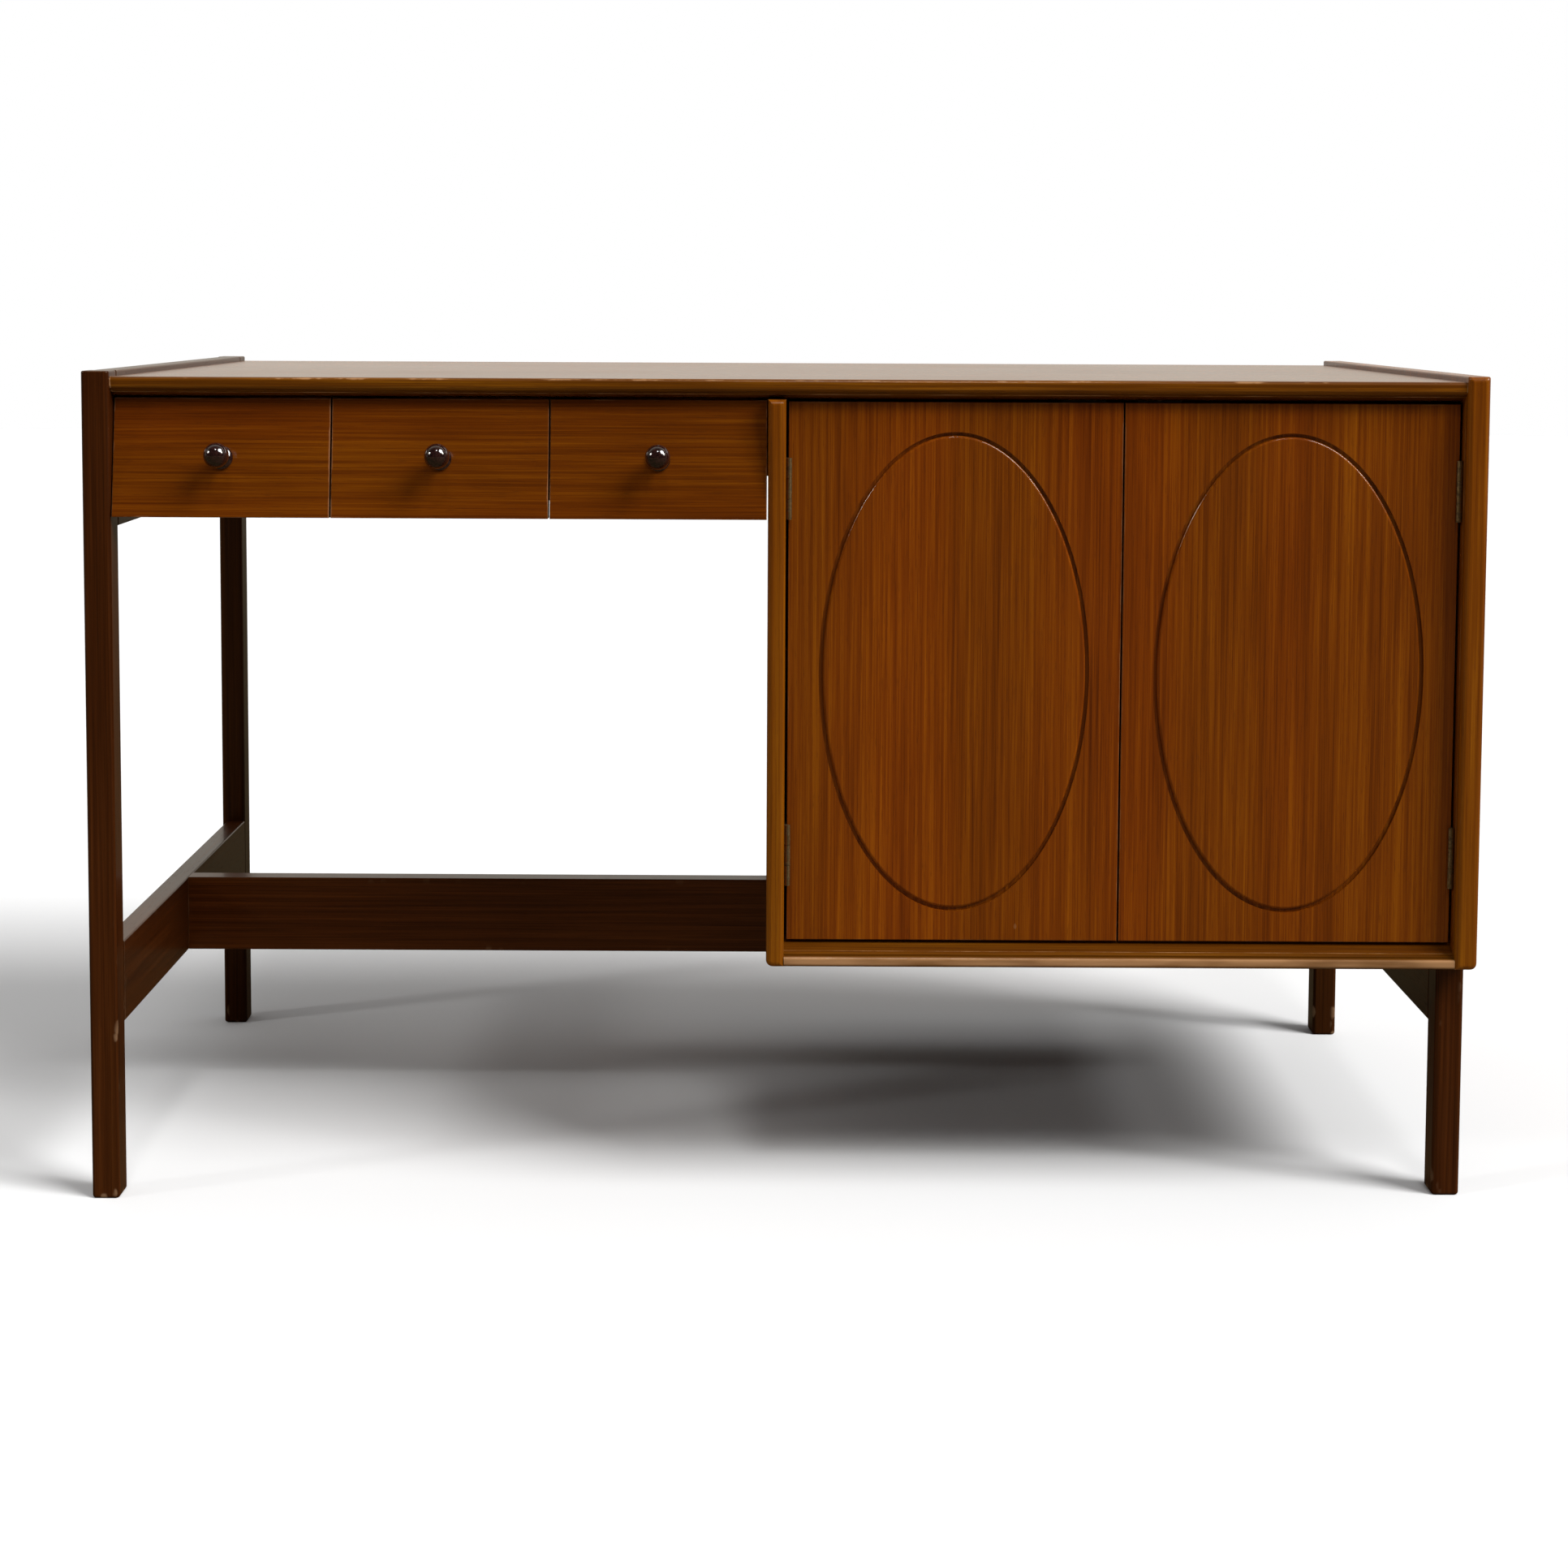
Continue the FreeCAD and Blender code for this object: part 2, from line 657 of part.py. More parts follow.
FLOOR_NOSE_TOP = "cabinet_low + floor_nose_tall"
FLOOR_BEVEL_FOOT = f"{FLOOR_NOSE_TOP} + quirk_tall"
FLOOR_JOINT = "floor_nose_setback + lipping_deep"
FLOOR_BEVEL_RISE = f"(floor_top - ({FLOOR_BEVEL_FOOT})) / (bevel_deep + lipping_deep - quirk_deep)"
FLOOR_JOINT_TOP = f"{FLOOR_BEVEL_FOOT} + {FLOOR_BEVEL_RISE} * (lipping_deep - quirk_deep)"

floor_body = profile_body("cabinet_bottom_blank", "YZ_Plane", [
    (FLOOR_JOINT, "cabinet_low"),
    ("back_start", "cabinet_low"),
    ("back_start", "floor_top"),
    (f"{FLOOR_JOINT} + bevel_deep", "floor_top"),
    (FLOOR_JOINT, FLOOR_JOINT_TOP),
], "bay_wide")
place(floor_body, "bay_left", "0", "0")
keep(cut("cabinet_bottom", floor_body,
         [base_screw(f"floor_bore_{n}", spot) for n, spot in enumerate(BASE_SCREWS[2:], start=1)]))

floor_nose = profile_body("bottom_front_lipping", "YZ_Plane", [
    ("floor_nose_setback", "cabinet_low"),
    (FLOOR_JOINT, "cabinet_low"),
    (FLOOR_JOINT, FLOOR_JOINT_TOP),
    ("floor_nose_setback + quirk_deep", FLOOR_BEVEL_FOOT),
    ("floor_nose_setback + quirk_deep", FLOOR_NOSE_TOP),
    ("floor_nose_setback", FLOOR_NOSE_TOP),
], "bay_wide")
ease(floor_nose, "floor_nose_round", both(runs("x"), level("y", "floor_nose_setback")))
place(floor_nose, "bay_left", "0", "0")
keep(floor_nose)

keep(box("cabinet_back", ("bay_left", "bay_wide"), ("back_start", "back_thick"),
         ("cabinet_low", "top_under - cabinet_low")))

shelf = plank("cabinet_shelf", ("bay_left + shelf_play", "bay_wide - 2 * shelf_play"),
              ("shelf_setback", "back_start - shelf_setback - shelf_play"),
              ("shelf_low", "shelf_thick"))
ease(shelf, "crown_round", both(runs("x"), level("y", "0")))
keep(shelf)
keep(group("shelf_pegs", [peg(f"shelf_peg_{side}_{y}".replace("-1", "left").replace("1", "right"),
                              side, y)
                          for side in (-1, 1) for y in ("peg_front", "peg_rear")]))

# ---------------------------------------------------------------- drawer case

keep(box("drawer_case_back_rail", ("knee_left", "knee_width"),
         ("case_back_setback", "case_back_thick"), ("front_low", "top_under - front_low")))
for index, name in enumerate(("left", "right")):
    keep(box(f"{name}_drawer_divider",
             (f"first_gap + {index} * front_pitch - divider_thick / 2", "divider_thick"),
             ("divider_setback", "case_back_setback - divider_setback"),
             ("divider_low", "top_under - divider_low")))


def runner(label, index, side):
    """A runner strip from a wall of the drawer case into the slot of a drawer's side."""
    middle = f"first_middle + {index} * front_pitch"
    box_side = f"({middle} + {side} * (box_wide / 2 - runner_reach))"
    if index == 0 and side < 0:
        wall = "knee_left"
    elif index == 2 and side > 0:
        wall = "side_left"
    else:
        divider = index if side > 0 else index - 1
        wall = f"(first_gap + {divider} * front_pitch - {side} * divider_thick / 2)"
    start = wall if side < 0 else box_side
    return box(label, (start, f"{side} * ({wall} - {box_side})"),
               ("runner_start", "runner_end - runner_start"), ("runner_low", "runner_tall"))


keep(group("drawer_runners", [
    runner(f"runner_{index + 1}_{'left' if side < 0 else 'right'}", index, side)
    for index in range(3) for side in (-1, 1)]))

# ---------------------------------------------------------------- drawers

NAMES = ("left", "middle", "right")


def drawer_front(name, middle):
    """The slanted front, housed for the bottom and bored for the knob's screw."""
    body = profile_body(f"{name}_drawer_front_blank", "YZ_Plane", [
        ("front_foot_setback", "front_low"),
        ("front_foot_setback + front_thick", "front_low"),
        ("front_top_setback + front_thick", "front_low + front_tall"),
        ("front_top_setback", "front_low + front_tall"),
    ], "front_wide")
    ease(body, "front_ease",
         lambda edge: extent(edge)[1][1] < number("front_top_setback") + TOUCH)
    place(body, f"{middle} - front_wide / 2", "0", "0")
    housing = box(f"{name}_front_housing",
                  (f"{middle} - box_inner / 2 - box_bottom_housing", "box_inner + 2 * box_bottom_housing"),
                  ("bottom_start", "2 * box_bottom_housing"), ("box_bottom_low", "box_bottom_thick"))
    hole = rod(f"{name}_front_hole", "knob_screw_hole", "3 * front_thick")
    aim_along_knob(hole, middle, "-2 * front_thick")
    return keep(cut(f"{name}_drawer_front", body, [housing, hole]))


def aim_along_knob(thing, middle, start):
    """Sets a solid made along +Z on the knob's axis, square to the slanted front."""
    thing.Placement.Rotation = FreeCAD.Rotation(FreeCAD.Vector(1, 0, 0), 90 - number("slant_angle"))
    thing.setExpression("Placement.Rotation.Angle", cells("90 - slant_angle"))
    along = f"({start})"
    place(thing, middle,
          f"front_mid - {along} * cos(slant_angle * 1deg)",
          f"knob_height + {along} * sin(slant_angle * 1deg)")


def drawer_side(name, hand, middle):
    """One side of a drawer box: slotted outside for its runner, housed inside for the bottom."""
    label = f"{name}_drawer_{'left' if hand < 0 else 'right'}_side"
    body = profile_body(label + "_blank", "YZ_Plane", [
        ("side_foot", "box_low"),
        ("box_end", "box_low"),
        ("box_end", "box_low + box_tall"),
        ("side_crown", "box_low + box_tall"),
    ], "box_wall")
    start = f"{middle} - box_wide / 2" if hand < 0 else f"{middle} + box_wide / 2 - box_wall"
    place(body, start, "0", "0")
    slot_x = start if hand < 0 else f"{middle} + box_wide / 2 - slot_deep"
    housing_x = (f"{start} + box_wall - box_bottom_housing" if hand < 0 else start)
    slot = box(label + "_slot", (slot_x, "slot_deep"), ("0", "box_end"), ("slot_low", "slot_tall"))
    housing = box(label + "_housing", (housing_x, "box_bottom_housing"), ("0", "box_end"),
                  ("box_bottom_low", "box_bottom_thick"))
    return keep(cut(label, body, [slot, housing]))


def knob(name, middle):
    """A turned ball knob: a coved foot, a slim neck and a ball, tapped for its screw."""
    foot = rod(f"{name}_knob_foot", "knob_foot_radius", "knob_foot_tall")
    cove = doc.addObject("Part::Torus", f"{name}_knob_cove")
    bind(cove, Radius1="knob_neck_radius + knob_cove_radius", Radius2="knob_cove_radius")
    place(cove, "0", "0", "knob_cove_height")
    ball = doc.addObject("Part::Sphere", f"{name}_knob_ball")
    bind(ball, Radius="knob_ball_radius")
    place(ball, "0", "0", "knob_ball_out")
    neck = cut(f"{name}_knob_neck", foot, [cove])
    tapped = rod(f"{name}_knob_tapped", "knob_screw_radius", "knob_screw_depth")
    turned = cut(f"{name}_drawer_knob", join(f"{name}_knob_turned", [neck, ball]), [tapped])
    aim_from_origin(turned, middle)
    return keep(turned)


def knob_screw(name, middle):
    """The screw from inside the drawer, through the front, into the knob."""
    shank = rod(f"{name}_knob_screw_shank", "knob_screw_radius",
                "front_square_thick + knob_screw_depth", z="-front_square_thick")
    head = rod(f"{name}_knob_screw_head", "knob_screw_head", "knob_screw_head_tall",
               z="-front_square_thick - knob_screw_head_tall")
    screw = join(f"{name}_drawer_knob_screw", [shank, head])
    aim_from_origin(screw, middle)
    return keep(screw)


def aim_from_origin(thing, middle):
    """Moves a finished turning from the front plane's foot onto the knob's axis."""
    back = FreeCAD.Placement(FreeCAD.Vector(0, -number("front_y"), 0), FreeCAD.Rotation())
    tilt = FreeCAD.Rotation(FreeCAD.Vector(1, 0, 0), 90 - number("slant_angle"))
    there = FreeCAD.Vector(number(middle), number("front_y + front_mid"), number("knob_height"))
    thing.Placement = FreeCAD.Placement(there, tilt) * back


for index, name in enumerate(NAMES):
    middle = f"(first_middle + {index} * front_pitch)"
    drawer_front(name, middle)
    for hand in (-1, 1):
        drawer_side(name, hand, middle)
    keep(box(f"{name}_drawer_back", (f"{middle} - box_inner / 2", "box_inner"),
             ("box_end - box_wall", "box_wall"),
             ("box_bottom_low + box_bottom_thick",
              "box_low + box_tall - box_back_drop - box_bottom_low - box_bottom_thick")))
    keep(box(f"{name}_drawer_bottom",
             (f"{middle} - box_inner / 2 - box_bottom_housing", "box_inner + 2 * box_bottom_housing"),
             ("bottom_start", "box_end - bottom_start"), ("box_bottom_low", "box_bottom_thick")))
    knob(name, middle)
    knob_screw(name, middle)

# ---------------------------------------------------------------- hinges


def barrel(label, side, low, start, length):
    """A length of hinge knuckle round the pin's axis."""
    return rod(label, "knuckle_radius", length, hinge_side_x(side, "pin_inset"),
               "pin_setback", f"{low} + {start}")


def hinge_leaf(label, side, low, fixed):
    """One leaf of a butt hinge with its knuckles, drilled for the pin and two screws."""
    inner = "0" if fixed else "door_edge_gap - leaf_thick"
    start = hinge_side_x(side, inner if side < 0 else f"{inner} + leaf_thick")
    middle = "hinge_third + knuckle_gap"
    spans = [(middle, "hinge_third")]
    if fixed:
        spans = [("0", "hinge_third"), (f"2 * ({middle})", "hinge_third")]
    solids = [box(label + "_plate", (start, "leaf_thick"), ("leaf_start", "leaf_wide"),
                  (low, "hinge_tall"))]
    for n, (foot, length) in enumerate(spans, start=1):
        solids.append(box(f"{label}_tab_{n}", (start, "leaf_thick"),
                          ("pin_setback", "leaf_start - pin_setback"), (f"{low} + {foot}", length)))
        solids.append(barrel(f"{label}_knuckle_{n}", side, low, foot, length))
    tools = [rod(label + "_bore", "pin_radius + pin_play", "hinge_tall",
                 hinge_side_x(side, "pin_inset"), "pin_setback", low)]
    for n, height in enumerate(SCREW_HEIGHTS, start=1):
        make = wall_screw if fixed else door_screw
        tools.append(make(f"{label}_sink_{n}", side, f"{low} + {height}"))
    return cut(label, join(label + "_solid", solids), tools)


def door_screw(label, side, height):
    """A countersunk screw that holds a hinge's moving leaf to a door's edge."""
    face = hinge_side_x(side, "door_edge_gap - leaf_thick")
    way = "-x" if side > 0 else "x"
    head = taper(label + "_head", ("hinge_screw_head", "hinge_screw_radius"), "leaf_thick",
                 face, LEAF_SCREW_DEPTH, height, way)
    shank = rod(label + "_shank", "hinge_screw_radius", "hinge_screw_long",
                face, LEAF_SCREW_DEPTH, height, way)
    return join(label, [head, shank])


SIDES = {"left": -1, "right": 1}
keep(group("hinge_frame_leaves",
           [hinge_leaf(f"{name}_{low}_frame_leaf", side, low, True)
            for name, side in SIDES.items() for low in HINGE_LOWS]))
keep(group("hinge_pins",
           [rod(f"{name}_{low}_pin", "pin_radius", "hinge_tall",
                hinge_side_x(side, "pin_inset"), "pin_setback", low)
            for name, side in SIDES.items() for low in HINGE_LOWS]))
keep(group("hinge_frame_screws",
           [wall_screw(f"{name}_{low}_wall_screw_{n}", side, f"{low} + {height}")
            for name, side in SIDES.items() for low in HINGE_LOWS
            for n, height in enumerate(SCREW_HEIGHTS, start=1)]))

# ---------------------------------------------------------------- doors


def strike(label, side):
    """A steel striking disc with a peg that is pushed into the back of a door."""
    x = f"bay_middle + {side} * catch_from_middle"
    z = "top_under - catch_tall / 2 - strike_drop"
    disc = rod(label + "_disc", "strike_radius", "strike_thick", x, "door_setback + door_thick", z, "y")
    stem = rod(label + "_stem", "strike_peg_radius", "strike_peg_long", x,
               "door_setback + door_thick - strike_peg_long", z, "y")
    return join(label, [disc, stem])


def oval(label, inset, side):
    """An upright oval prism, cut in from the front of a door."""
    line = doc.addObject("Part::Ellipse", label + "_line")
    bind(line, MajorRadius=f"oval_half_height - {inset}", MinorRadius=f"oval_half_width - {inset}")
    upright = FreeCAD.Rotation(FreeCAD.Vector(0, 0, 1), FreeCAD.Vector(-1, 0, 0), FreeCAD.Vector(0, -1, 0))
    line.Placement.Rotation = upright
    door_x = door_start(side)
    place(line, f"{door_x} + door_wide / 2", "door_setback + groove_deep", "door_low + door_tall / 2")
    prism = doc.addObject("Part::Extrusion", label)
    prism.Base = line
    prism.DirMode = "Custom"
    prism.Dir = FreeCAD.Vector(0, -1, 0)
    prism.Solid = True
    bind(prism, LengthFwd="2 * groove_deep")
    return prism


def door_start(side):
    """The x of a door's left edge."""
    return "bay_left + door_edge_gap" if side < 0 else "bay_right - door_edge_gap - door_wide"


def door(name, side):
    """A door panel: an oval groove with a rounded inner shoulder, and its fittings' holes."""
    body = plank(f"{name}_door_blank", (door_start(side), "door_wide"),
                 ("door_setback", "door_thick"), ("door_low", "door_tall"))
    ease(body, "door_ease", level("y", "0"))
    ring = cut(f"{name}_door_ring", oval(f"{name}_oval_outside", "0", side),
               [oval(f"{name}_oval_inside", "groove_wide", side)])
    tools = [ring, strike(f"{name}_door_strike_hole", side)]
    for low in HINGE_LOWS:
        for n, height in enumerate(SCREW_HEIGHTS, start=1):
            tools.append(door_screw(f"{name}_door_pilot_{low}_{n}", side, f"{low} + {height}"))
    grooved = cut(f"{name}_door_grooved", body, tools)
    doc.recompute()
    shoulder = doc.addObject("Part::Fillet", f"{name}_door")
    shoulder.Label = f"{name}_door"
    shoulder.Base = grooved
    face_y = number("front_y + door_setback")
    inner_wide = number("2 * (oval_half_width - groove_wide)")
    wanted = [n for n, edge in enumerate(grooved.Shape.Edges, start=1)
              if abs(edge.BoundBox.YMax - face_y) < TOUCH and abs(edge.BoundBox.YMin - face_y) < TOUCH
              and abs(edge.BoundBox.XLength - inner_wide) < 0.5]
    radius = number("groove_shoulder")
    shoulder.Edges = [(n, radius, radius) for n in wanted]
    return keep(shoulder)


for name, side in SIDES.items():
    door(name, side)
    keep(group(f"{name}_door_hinge_leaves",
               [hinge_leaf(f"{name}_{low}_door_leaf", side, low, False) for low in HINGE_LOWS]))
    keep(group(f"{name}_door_hinge_screws",
               [door_screw(f"{name}_{low}_door_screw_{n}", side, f"{low} + {height}")
                for low in HINGE_LOWS for n, height in enumerate(SCREW_HEIGHTS, start=1)]))
    keep(strike(f"{name}_door_strike", side))


def catch(label, side):
    """The body of a magnetic catch, screwed up under the top behind a door."""
    left = f"bay_middle + {side} * catch_from_middle - catch_wide / 2"
    blank = box(label + "_blank", (left, "catch_wide"), ("catch_start", "catch_deep"),
                ("top_under - catch_tall", "catch_tall"))
    return cut(label, blank, [catch_screw(f"{label}_bore_{end}", side, end) for end in (-1, 1)])


keep(group("door_catches", [catch(f"{name}_catch", side) for name, side in SIDES.items()]))
keep(group("catch_screws", [catch_screw(f"catch_screw_{n}", *spot)
                            for n, spot in enumerate(catch_spots, start=1)]))

# ---------------------------------------------------------------- check and write

doc.recompute()
faults = [thing.Label for thing in doc.Objects if {"Invalid", "Error"} & set(thing.State)]
for thing in parts:
    if thing.Shape.isNull() or not thing.Shape.isValid():
        faults.append(thing.Label)
if faults:
    raise RuntimeError("not sound: " + ", ".join(faults))

os.makedirs("parts", exist_ok=True)
for thing in parts:
    thing.Shape.exportStep(f"parts/{thing.Label}.step")
print(len(parts), "pieces")
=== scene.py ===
"""Looks of a veneered writing desk: its finishes, its fine fittings, a studio and a camera.

The CAD frame gives every board, leg, drawer and door its shape and place. Here each of them gets
its finish, the plain screws give way to slotted ones, and small fittings are added. Lengths are in
metres, +X to the right, +Y to the back and +Z up.
"""

import logging
import math
from abc import ABC, abstractmethod
from dataclasses import dataclass, field
from enum import Enum
from typing import Any, Callable, ClassVar, Mapping, Sequence, Union

import bmesh
import bpy
from mathutils import Euler, Matrix, Vector


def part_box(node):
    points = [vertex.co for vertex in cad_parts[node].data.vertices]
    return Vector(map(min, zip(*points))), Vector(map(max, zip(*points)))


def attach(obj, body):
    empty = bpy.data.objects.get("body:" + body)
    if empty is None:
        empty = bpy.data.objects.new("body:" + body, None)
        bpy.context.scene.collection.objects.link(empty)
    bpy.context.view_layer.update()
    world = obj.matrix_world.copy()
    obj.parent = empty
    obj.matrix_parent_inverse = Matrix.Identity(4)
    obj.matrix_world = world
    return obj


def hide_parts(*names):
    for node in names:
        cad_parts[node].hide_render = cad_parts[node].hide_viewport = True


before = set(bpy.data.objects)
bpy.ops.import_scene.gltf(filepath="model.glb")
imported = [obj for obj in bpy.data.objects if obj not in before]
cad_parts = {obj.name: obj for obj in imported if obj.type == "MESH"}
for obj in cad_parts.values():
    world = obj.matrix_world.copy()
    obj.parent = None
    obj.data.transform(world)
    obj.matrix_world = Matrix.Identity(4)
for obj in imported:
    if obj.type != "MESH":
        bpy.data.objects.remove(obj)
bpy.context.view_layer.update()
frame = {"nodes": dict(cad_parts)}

LOG = logging.getLogger("desk")

Colour = tuple[float, float, float]
Span = tuple[float, float]
"""Where a mask starts and where it is full."""
Number = Union[float, "Shade"]
Spot = tuple[Vector, Vector]
FaceTest = Callable[[bmesh.types.BMFace], bool]


# ------------------------------------------------------------------ shader expressions


class Shade:
    """A shader value that is used in Python expressions."""

    def __init__(self, recipe: "Recipe", socket: bpy.types.NodeSocket) -> None:
        """Wraps a socket.

        Args:
            recipe: The node tree that the value belongs to.
            socket: The output that carries the value.
        """
        self.recipe = recipe
        self.socket = socket

    def __add__(self, other: Number) -> "Shade":
        """Sum."""
        return self.recipe.sum_of("ADD", self, other)

    def __radd__(self, other: Number) -> "Shade":
        """Sum, with the number first."""
        return self.recipe.sum_of("ADD", other, self)

    def __sub__(self, other: Number) -> "Shade":
        """Difference."""
        return self.recipe.sum_of("SUBTRACT", self, other)

    def __rsub__(self, other: Number) -> "Shade":
        """Difference, with the number first."""
        return self.recipe.sum_of("SUBTRACT", other, self)

    def __mul__(self, other: Number) -> "Shade":
        """Product."""
        return self.recipe.sum_of("MULTIPLY", self, other)

    def __rmul__(self, other: Number) -> "Shade":
        """Product, with the number first."""
        return self.recipe.sum_of("MULTIPLY", other, self)

    def __truediv__(self, other: Number) -> "Shade":
        """Quotient."""
        return self.recipe.sum_of("DIVIDE", self, other)

    def __abs__(self) -> "Shade":
        """Size without its sign."""
        return self.recipe.sum_of("ABSOLUTE", self, 0.0)

    def least(self, other: Number) -> "Shade":
        """The smaller of the two."""
        return self.recipe.sum_of("MINIMUM", self, other)

    def most(self, other: Number) -> "Shade":
        """The larger of the two."""
        return self.recipe.sum_of("MAXIMUM", self, other)

    def ramp(self, start: float, end: float) -> "Shade":
        """Eases from 0 at start to 1 at end.

        Args:
            start: The value that gives 0.
            end: The value that gives 1. It may be below start.

        Returns:
            A value between 0 and 1.
        """
        if start > end:
            return 1.0 - self.ramp(end, start)
        settings = {"interpolation_type": "SMOOTHSTEP"}
        inputs = {"Value": self, "From Min": start, "From Max": end}
        return self.recipe.node("ShaderNodeMapRange", settings, inputs)


class Recipe:
    """A node tree that is filled by expressions."""

    def __init__(self, tree: bpy.types.NodeTree) -> None:
        """Starts from an empty tree.

        Args:
            tree: The tree of a material or of the world. Its nodes are removed.
        """
        tree.nodes.clear()
        self.tree = tree

    def node(
        self,
        kind: str,
        settings: Mapping[str, Any] | None = None,
        inputs: Mapping[Union[str, int], Any] | None = None,
        output: Union[str, int] = 0,
    ) -> Shade:
        """Adds one node and gives one of its outputs.

        Args:
            kind: The node's type.
            settings: Its properties. "stops" sets a colour ramp's stops.
            inputs: A value or a Shade for each named or numbered socket.
            output: The socket that is returned.

        Returns:
            The chosen output.
        """
        return Shade(self, self._add(kind, settings or {}, inputs or {}).outputs[output])

    def deliver(self, kind: str, shader: Shade) -> None:
        """Ends the tree with an output node of a kind, fed by a shader."""
        self._add(kind, {}, {"Surface": shader})

    def _add(self, kind: str, settings: Mapping[str, Any],
             inputs: Mapping[Union[str, int], Any]) -> bpy.types.Node:
        """Adds one node, with its settings first and its sockets after.

        Args:
            kind: The node's type.
            settings: Its properties. "stops" sets a colour ramp's stops.
            inputs: A value or a Shade for each named or numbered socket.

        Returns:
            The node.
        """
        made = self.tree.nodes.new(kind)
        for name, value in settings.items():
            if name == "stops":
                self._set_stops(made.color_ramp, value)
            else:
                setattr(made, name, value)
        for name, value in inputs.items():
            if isinstance(value, Shade):
                self.tree.links.new(value.socket, made.inputs[name])
            else:
                made.inputs[name].default_value = value
        return made

    @staticmethod
    def _set_stops(band: bpy.types.ColorRamp, stops: Sequence[tuple[float, Colour]]) -> None:
        """Gives a colour ramp its stops.

        Args:
            band: The ramp.
            stops: Place and colour of each stop, two or more.
        """
        while len(band.elements) < len(stops):
            band.elements.new(0.5)
        for element, (place, colour) in zip(band.elements, stops):
            element.position = place
            element.color = (*colour, 1.0)

    def sum_of(self, operation: str, first: Number, second: Number) -> Shade:
        """One step of arithmetic.

        Args:
            operation: The Math node's operation.
            first: The first number.
            second: The second number.

        Returns:
            The result.
        """
        return self.node("ShaderNodeMath", {"operation": operation}, {0: first, 1: second})

    def colours(self, stops: Sequence[tuple[float, Colour]], place: Shade) -> Shade:
        """A colour ramp read at a value."""
        return self.node("ShaderNodeValToRGB", {"stops": stops}, {"Fac": place})

    def mix(self, share: Number, under: Union[Colour, Shade], over: Union[Colour, Shade],
            mode: str = "MIX") -> Shade:
        """Mixes two colours.

        Args:
            share: How much of the second colour shows.
            under: The first colour.
            over: The second colour.
            mode: The Mix node's blend mode.

        Returns:
            The mixed colour.
        """
        first = under if isinstance(under, Shade) else (*under, 1.0)
        second = over if isinstance(over, Shade) else (*over, 1.0)
        settings = {"data_type": "RGBA", "blend_type": mode}
        return self.node("ShaderNodeMix", settings, {0: share, 6: first, 7: second}, 2)

    def place(self) -> Shade:
        """The point's place in the object's own coordinates."""
        return self.node("ShaderNodeTexCoord", output="Object")

    def stretched(self, place: Shade, stretch: Sequence[float], shift: Sequence[float]) -> Shade:
        """The place scaled along each axis and then moved.

        Args:
            place: The coordinates.
            stretch: The scale of each axis.
            shift: The move that follows.

        Returns:
            The new coordinates.
        """
        inputs = {"Vector": place, "Scale": tuple(stretch), "Location": tuple(shift)}
        return self.node("ShaderNodeMapping", {"vector_type": "POINT"}, inputs)

    def noise(self, place: Shade, scale: float, detail: float = 2.0, rough: float = 0.5,
              swirl: float = 0.0) -> Shade:
        """Cloudy noise between 0 and 1.

        Args:
            place: The coordinates.
            scale: Spots per metre.
            detail: How many finer layers are added.
            rough: How strong the finer layers are.
            swirl: How far the noise bends itself.

        Returns:
            The noise.
        """
        inputs = {
            "Vector": place, "Scale": scale, "Detail": detail, "Roughness": rough, "Distortion": swirl,
        }
        return self.node("ShaderNodeTexNoise", {"noise_dimensions": "3D"}, inputs, "Fac")

    def cells(self, place: Shade, scale: float) -> Shade:
        """The distance to the nearest of many scattered spots, in cells."""
        inputs = {"Vector": place, "Scale": scale, "Randomness": 1.0}
        return self.node("ShaderNodeTexVoronoi", {"feature": "F1"}, inputs, "Distance")

    def part(self, place: Shade, axis: int) -> Shade:
        """One coordinate of a place: 0, 1 or 2 for x, y or z."""
        return self.node("ShaderNodeSeparateXYZ", None, {0: place}, axis)

    def edge_distance(self, place: Shade, low: Vector, high: Vector, panel: bool) -> Shade:
        """How far a point on a board lies from the board's nearest edge.

        A point on a block is on one face, so its smallest distance to the six faces is about
        zero, and the second smallest of the three axes' distances is the distance to the nearest
        edge. A panel that faces forwards, slanted or not, has its edges at its sides, head and foot.

        Args:
            place: The coordinates.
            low: The board's lowest corner.
            high: The board's highest corner.
            panel: Whether the board is a panel that faces forwards.

        Returns:
            The distance in metres.
        """
        gaps = []
        for axis in range(3):
            middle = (low[axis] + high[axis]) / 2
            half = (high[axis] - low[axis]) / 2
            gaps.append(half - abs(self.part(place, axis) - middle))
        first, second, third = gaps
        if panel:
            return first.least(third)
        return first.least(second).most(first.most(second).least(third))

    def bumped(self, height: Shade, depth: float, strength: float) -> Shade:
        """A normal bent by a height.

        Args:
            height: The height, 0 to 1.
            depth: The real depth of a height of 1, in metres.
            strength: How much of the bend is used.

        Returns:
            The normal.
        """
        inputs = {"Height": height, "Distance": depth, "Strength": strength}
        return self.node("ShaderNodeBump", None, inputs)


# ------------------------------------------------------------------ finishes


class Grain(Enum):
    """The way that a board's grain runs."""

    ACROSS = 0
    DEEP = 1
    UPRIGHT = 2

    def stretch(self, ratio: float) -> tuple[float, float, float]:
        """Scales that draw a pattern out along the grain.

        Args:
            ratio: The scale along the grain, where across it is 1.

        Returns:
            The three scales.
        """
        scales = [1.0, 1.0, 1.0]
        scales[self.value] = ratio
        return tuple(scales)


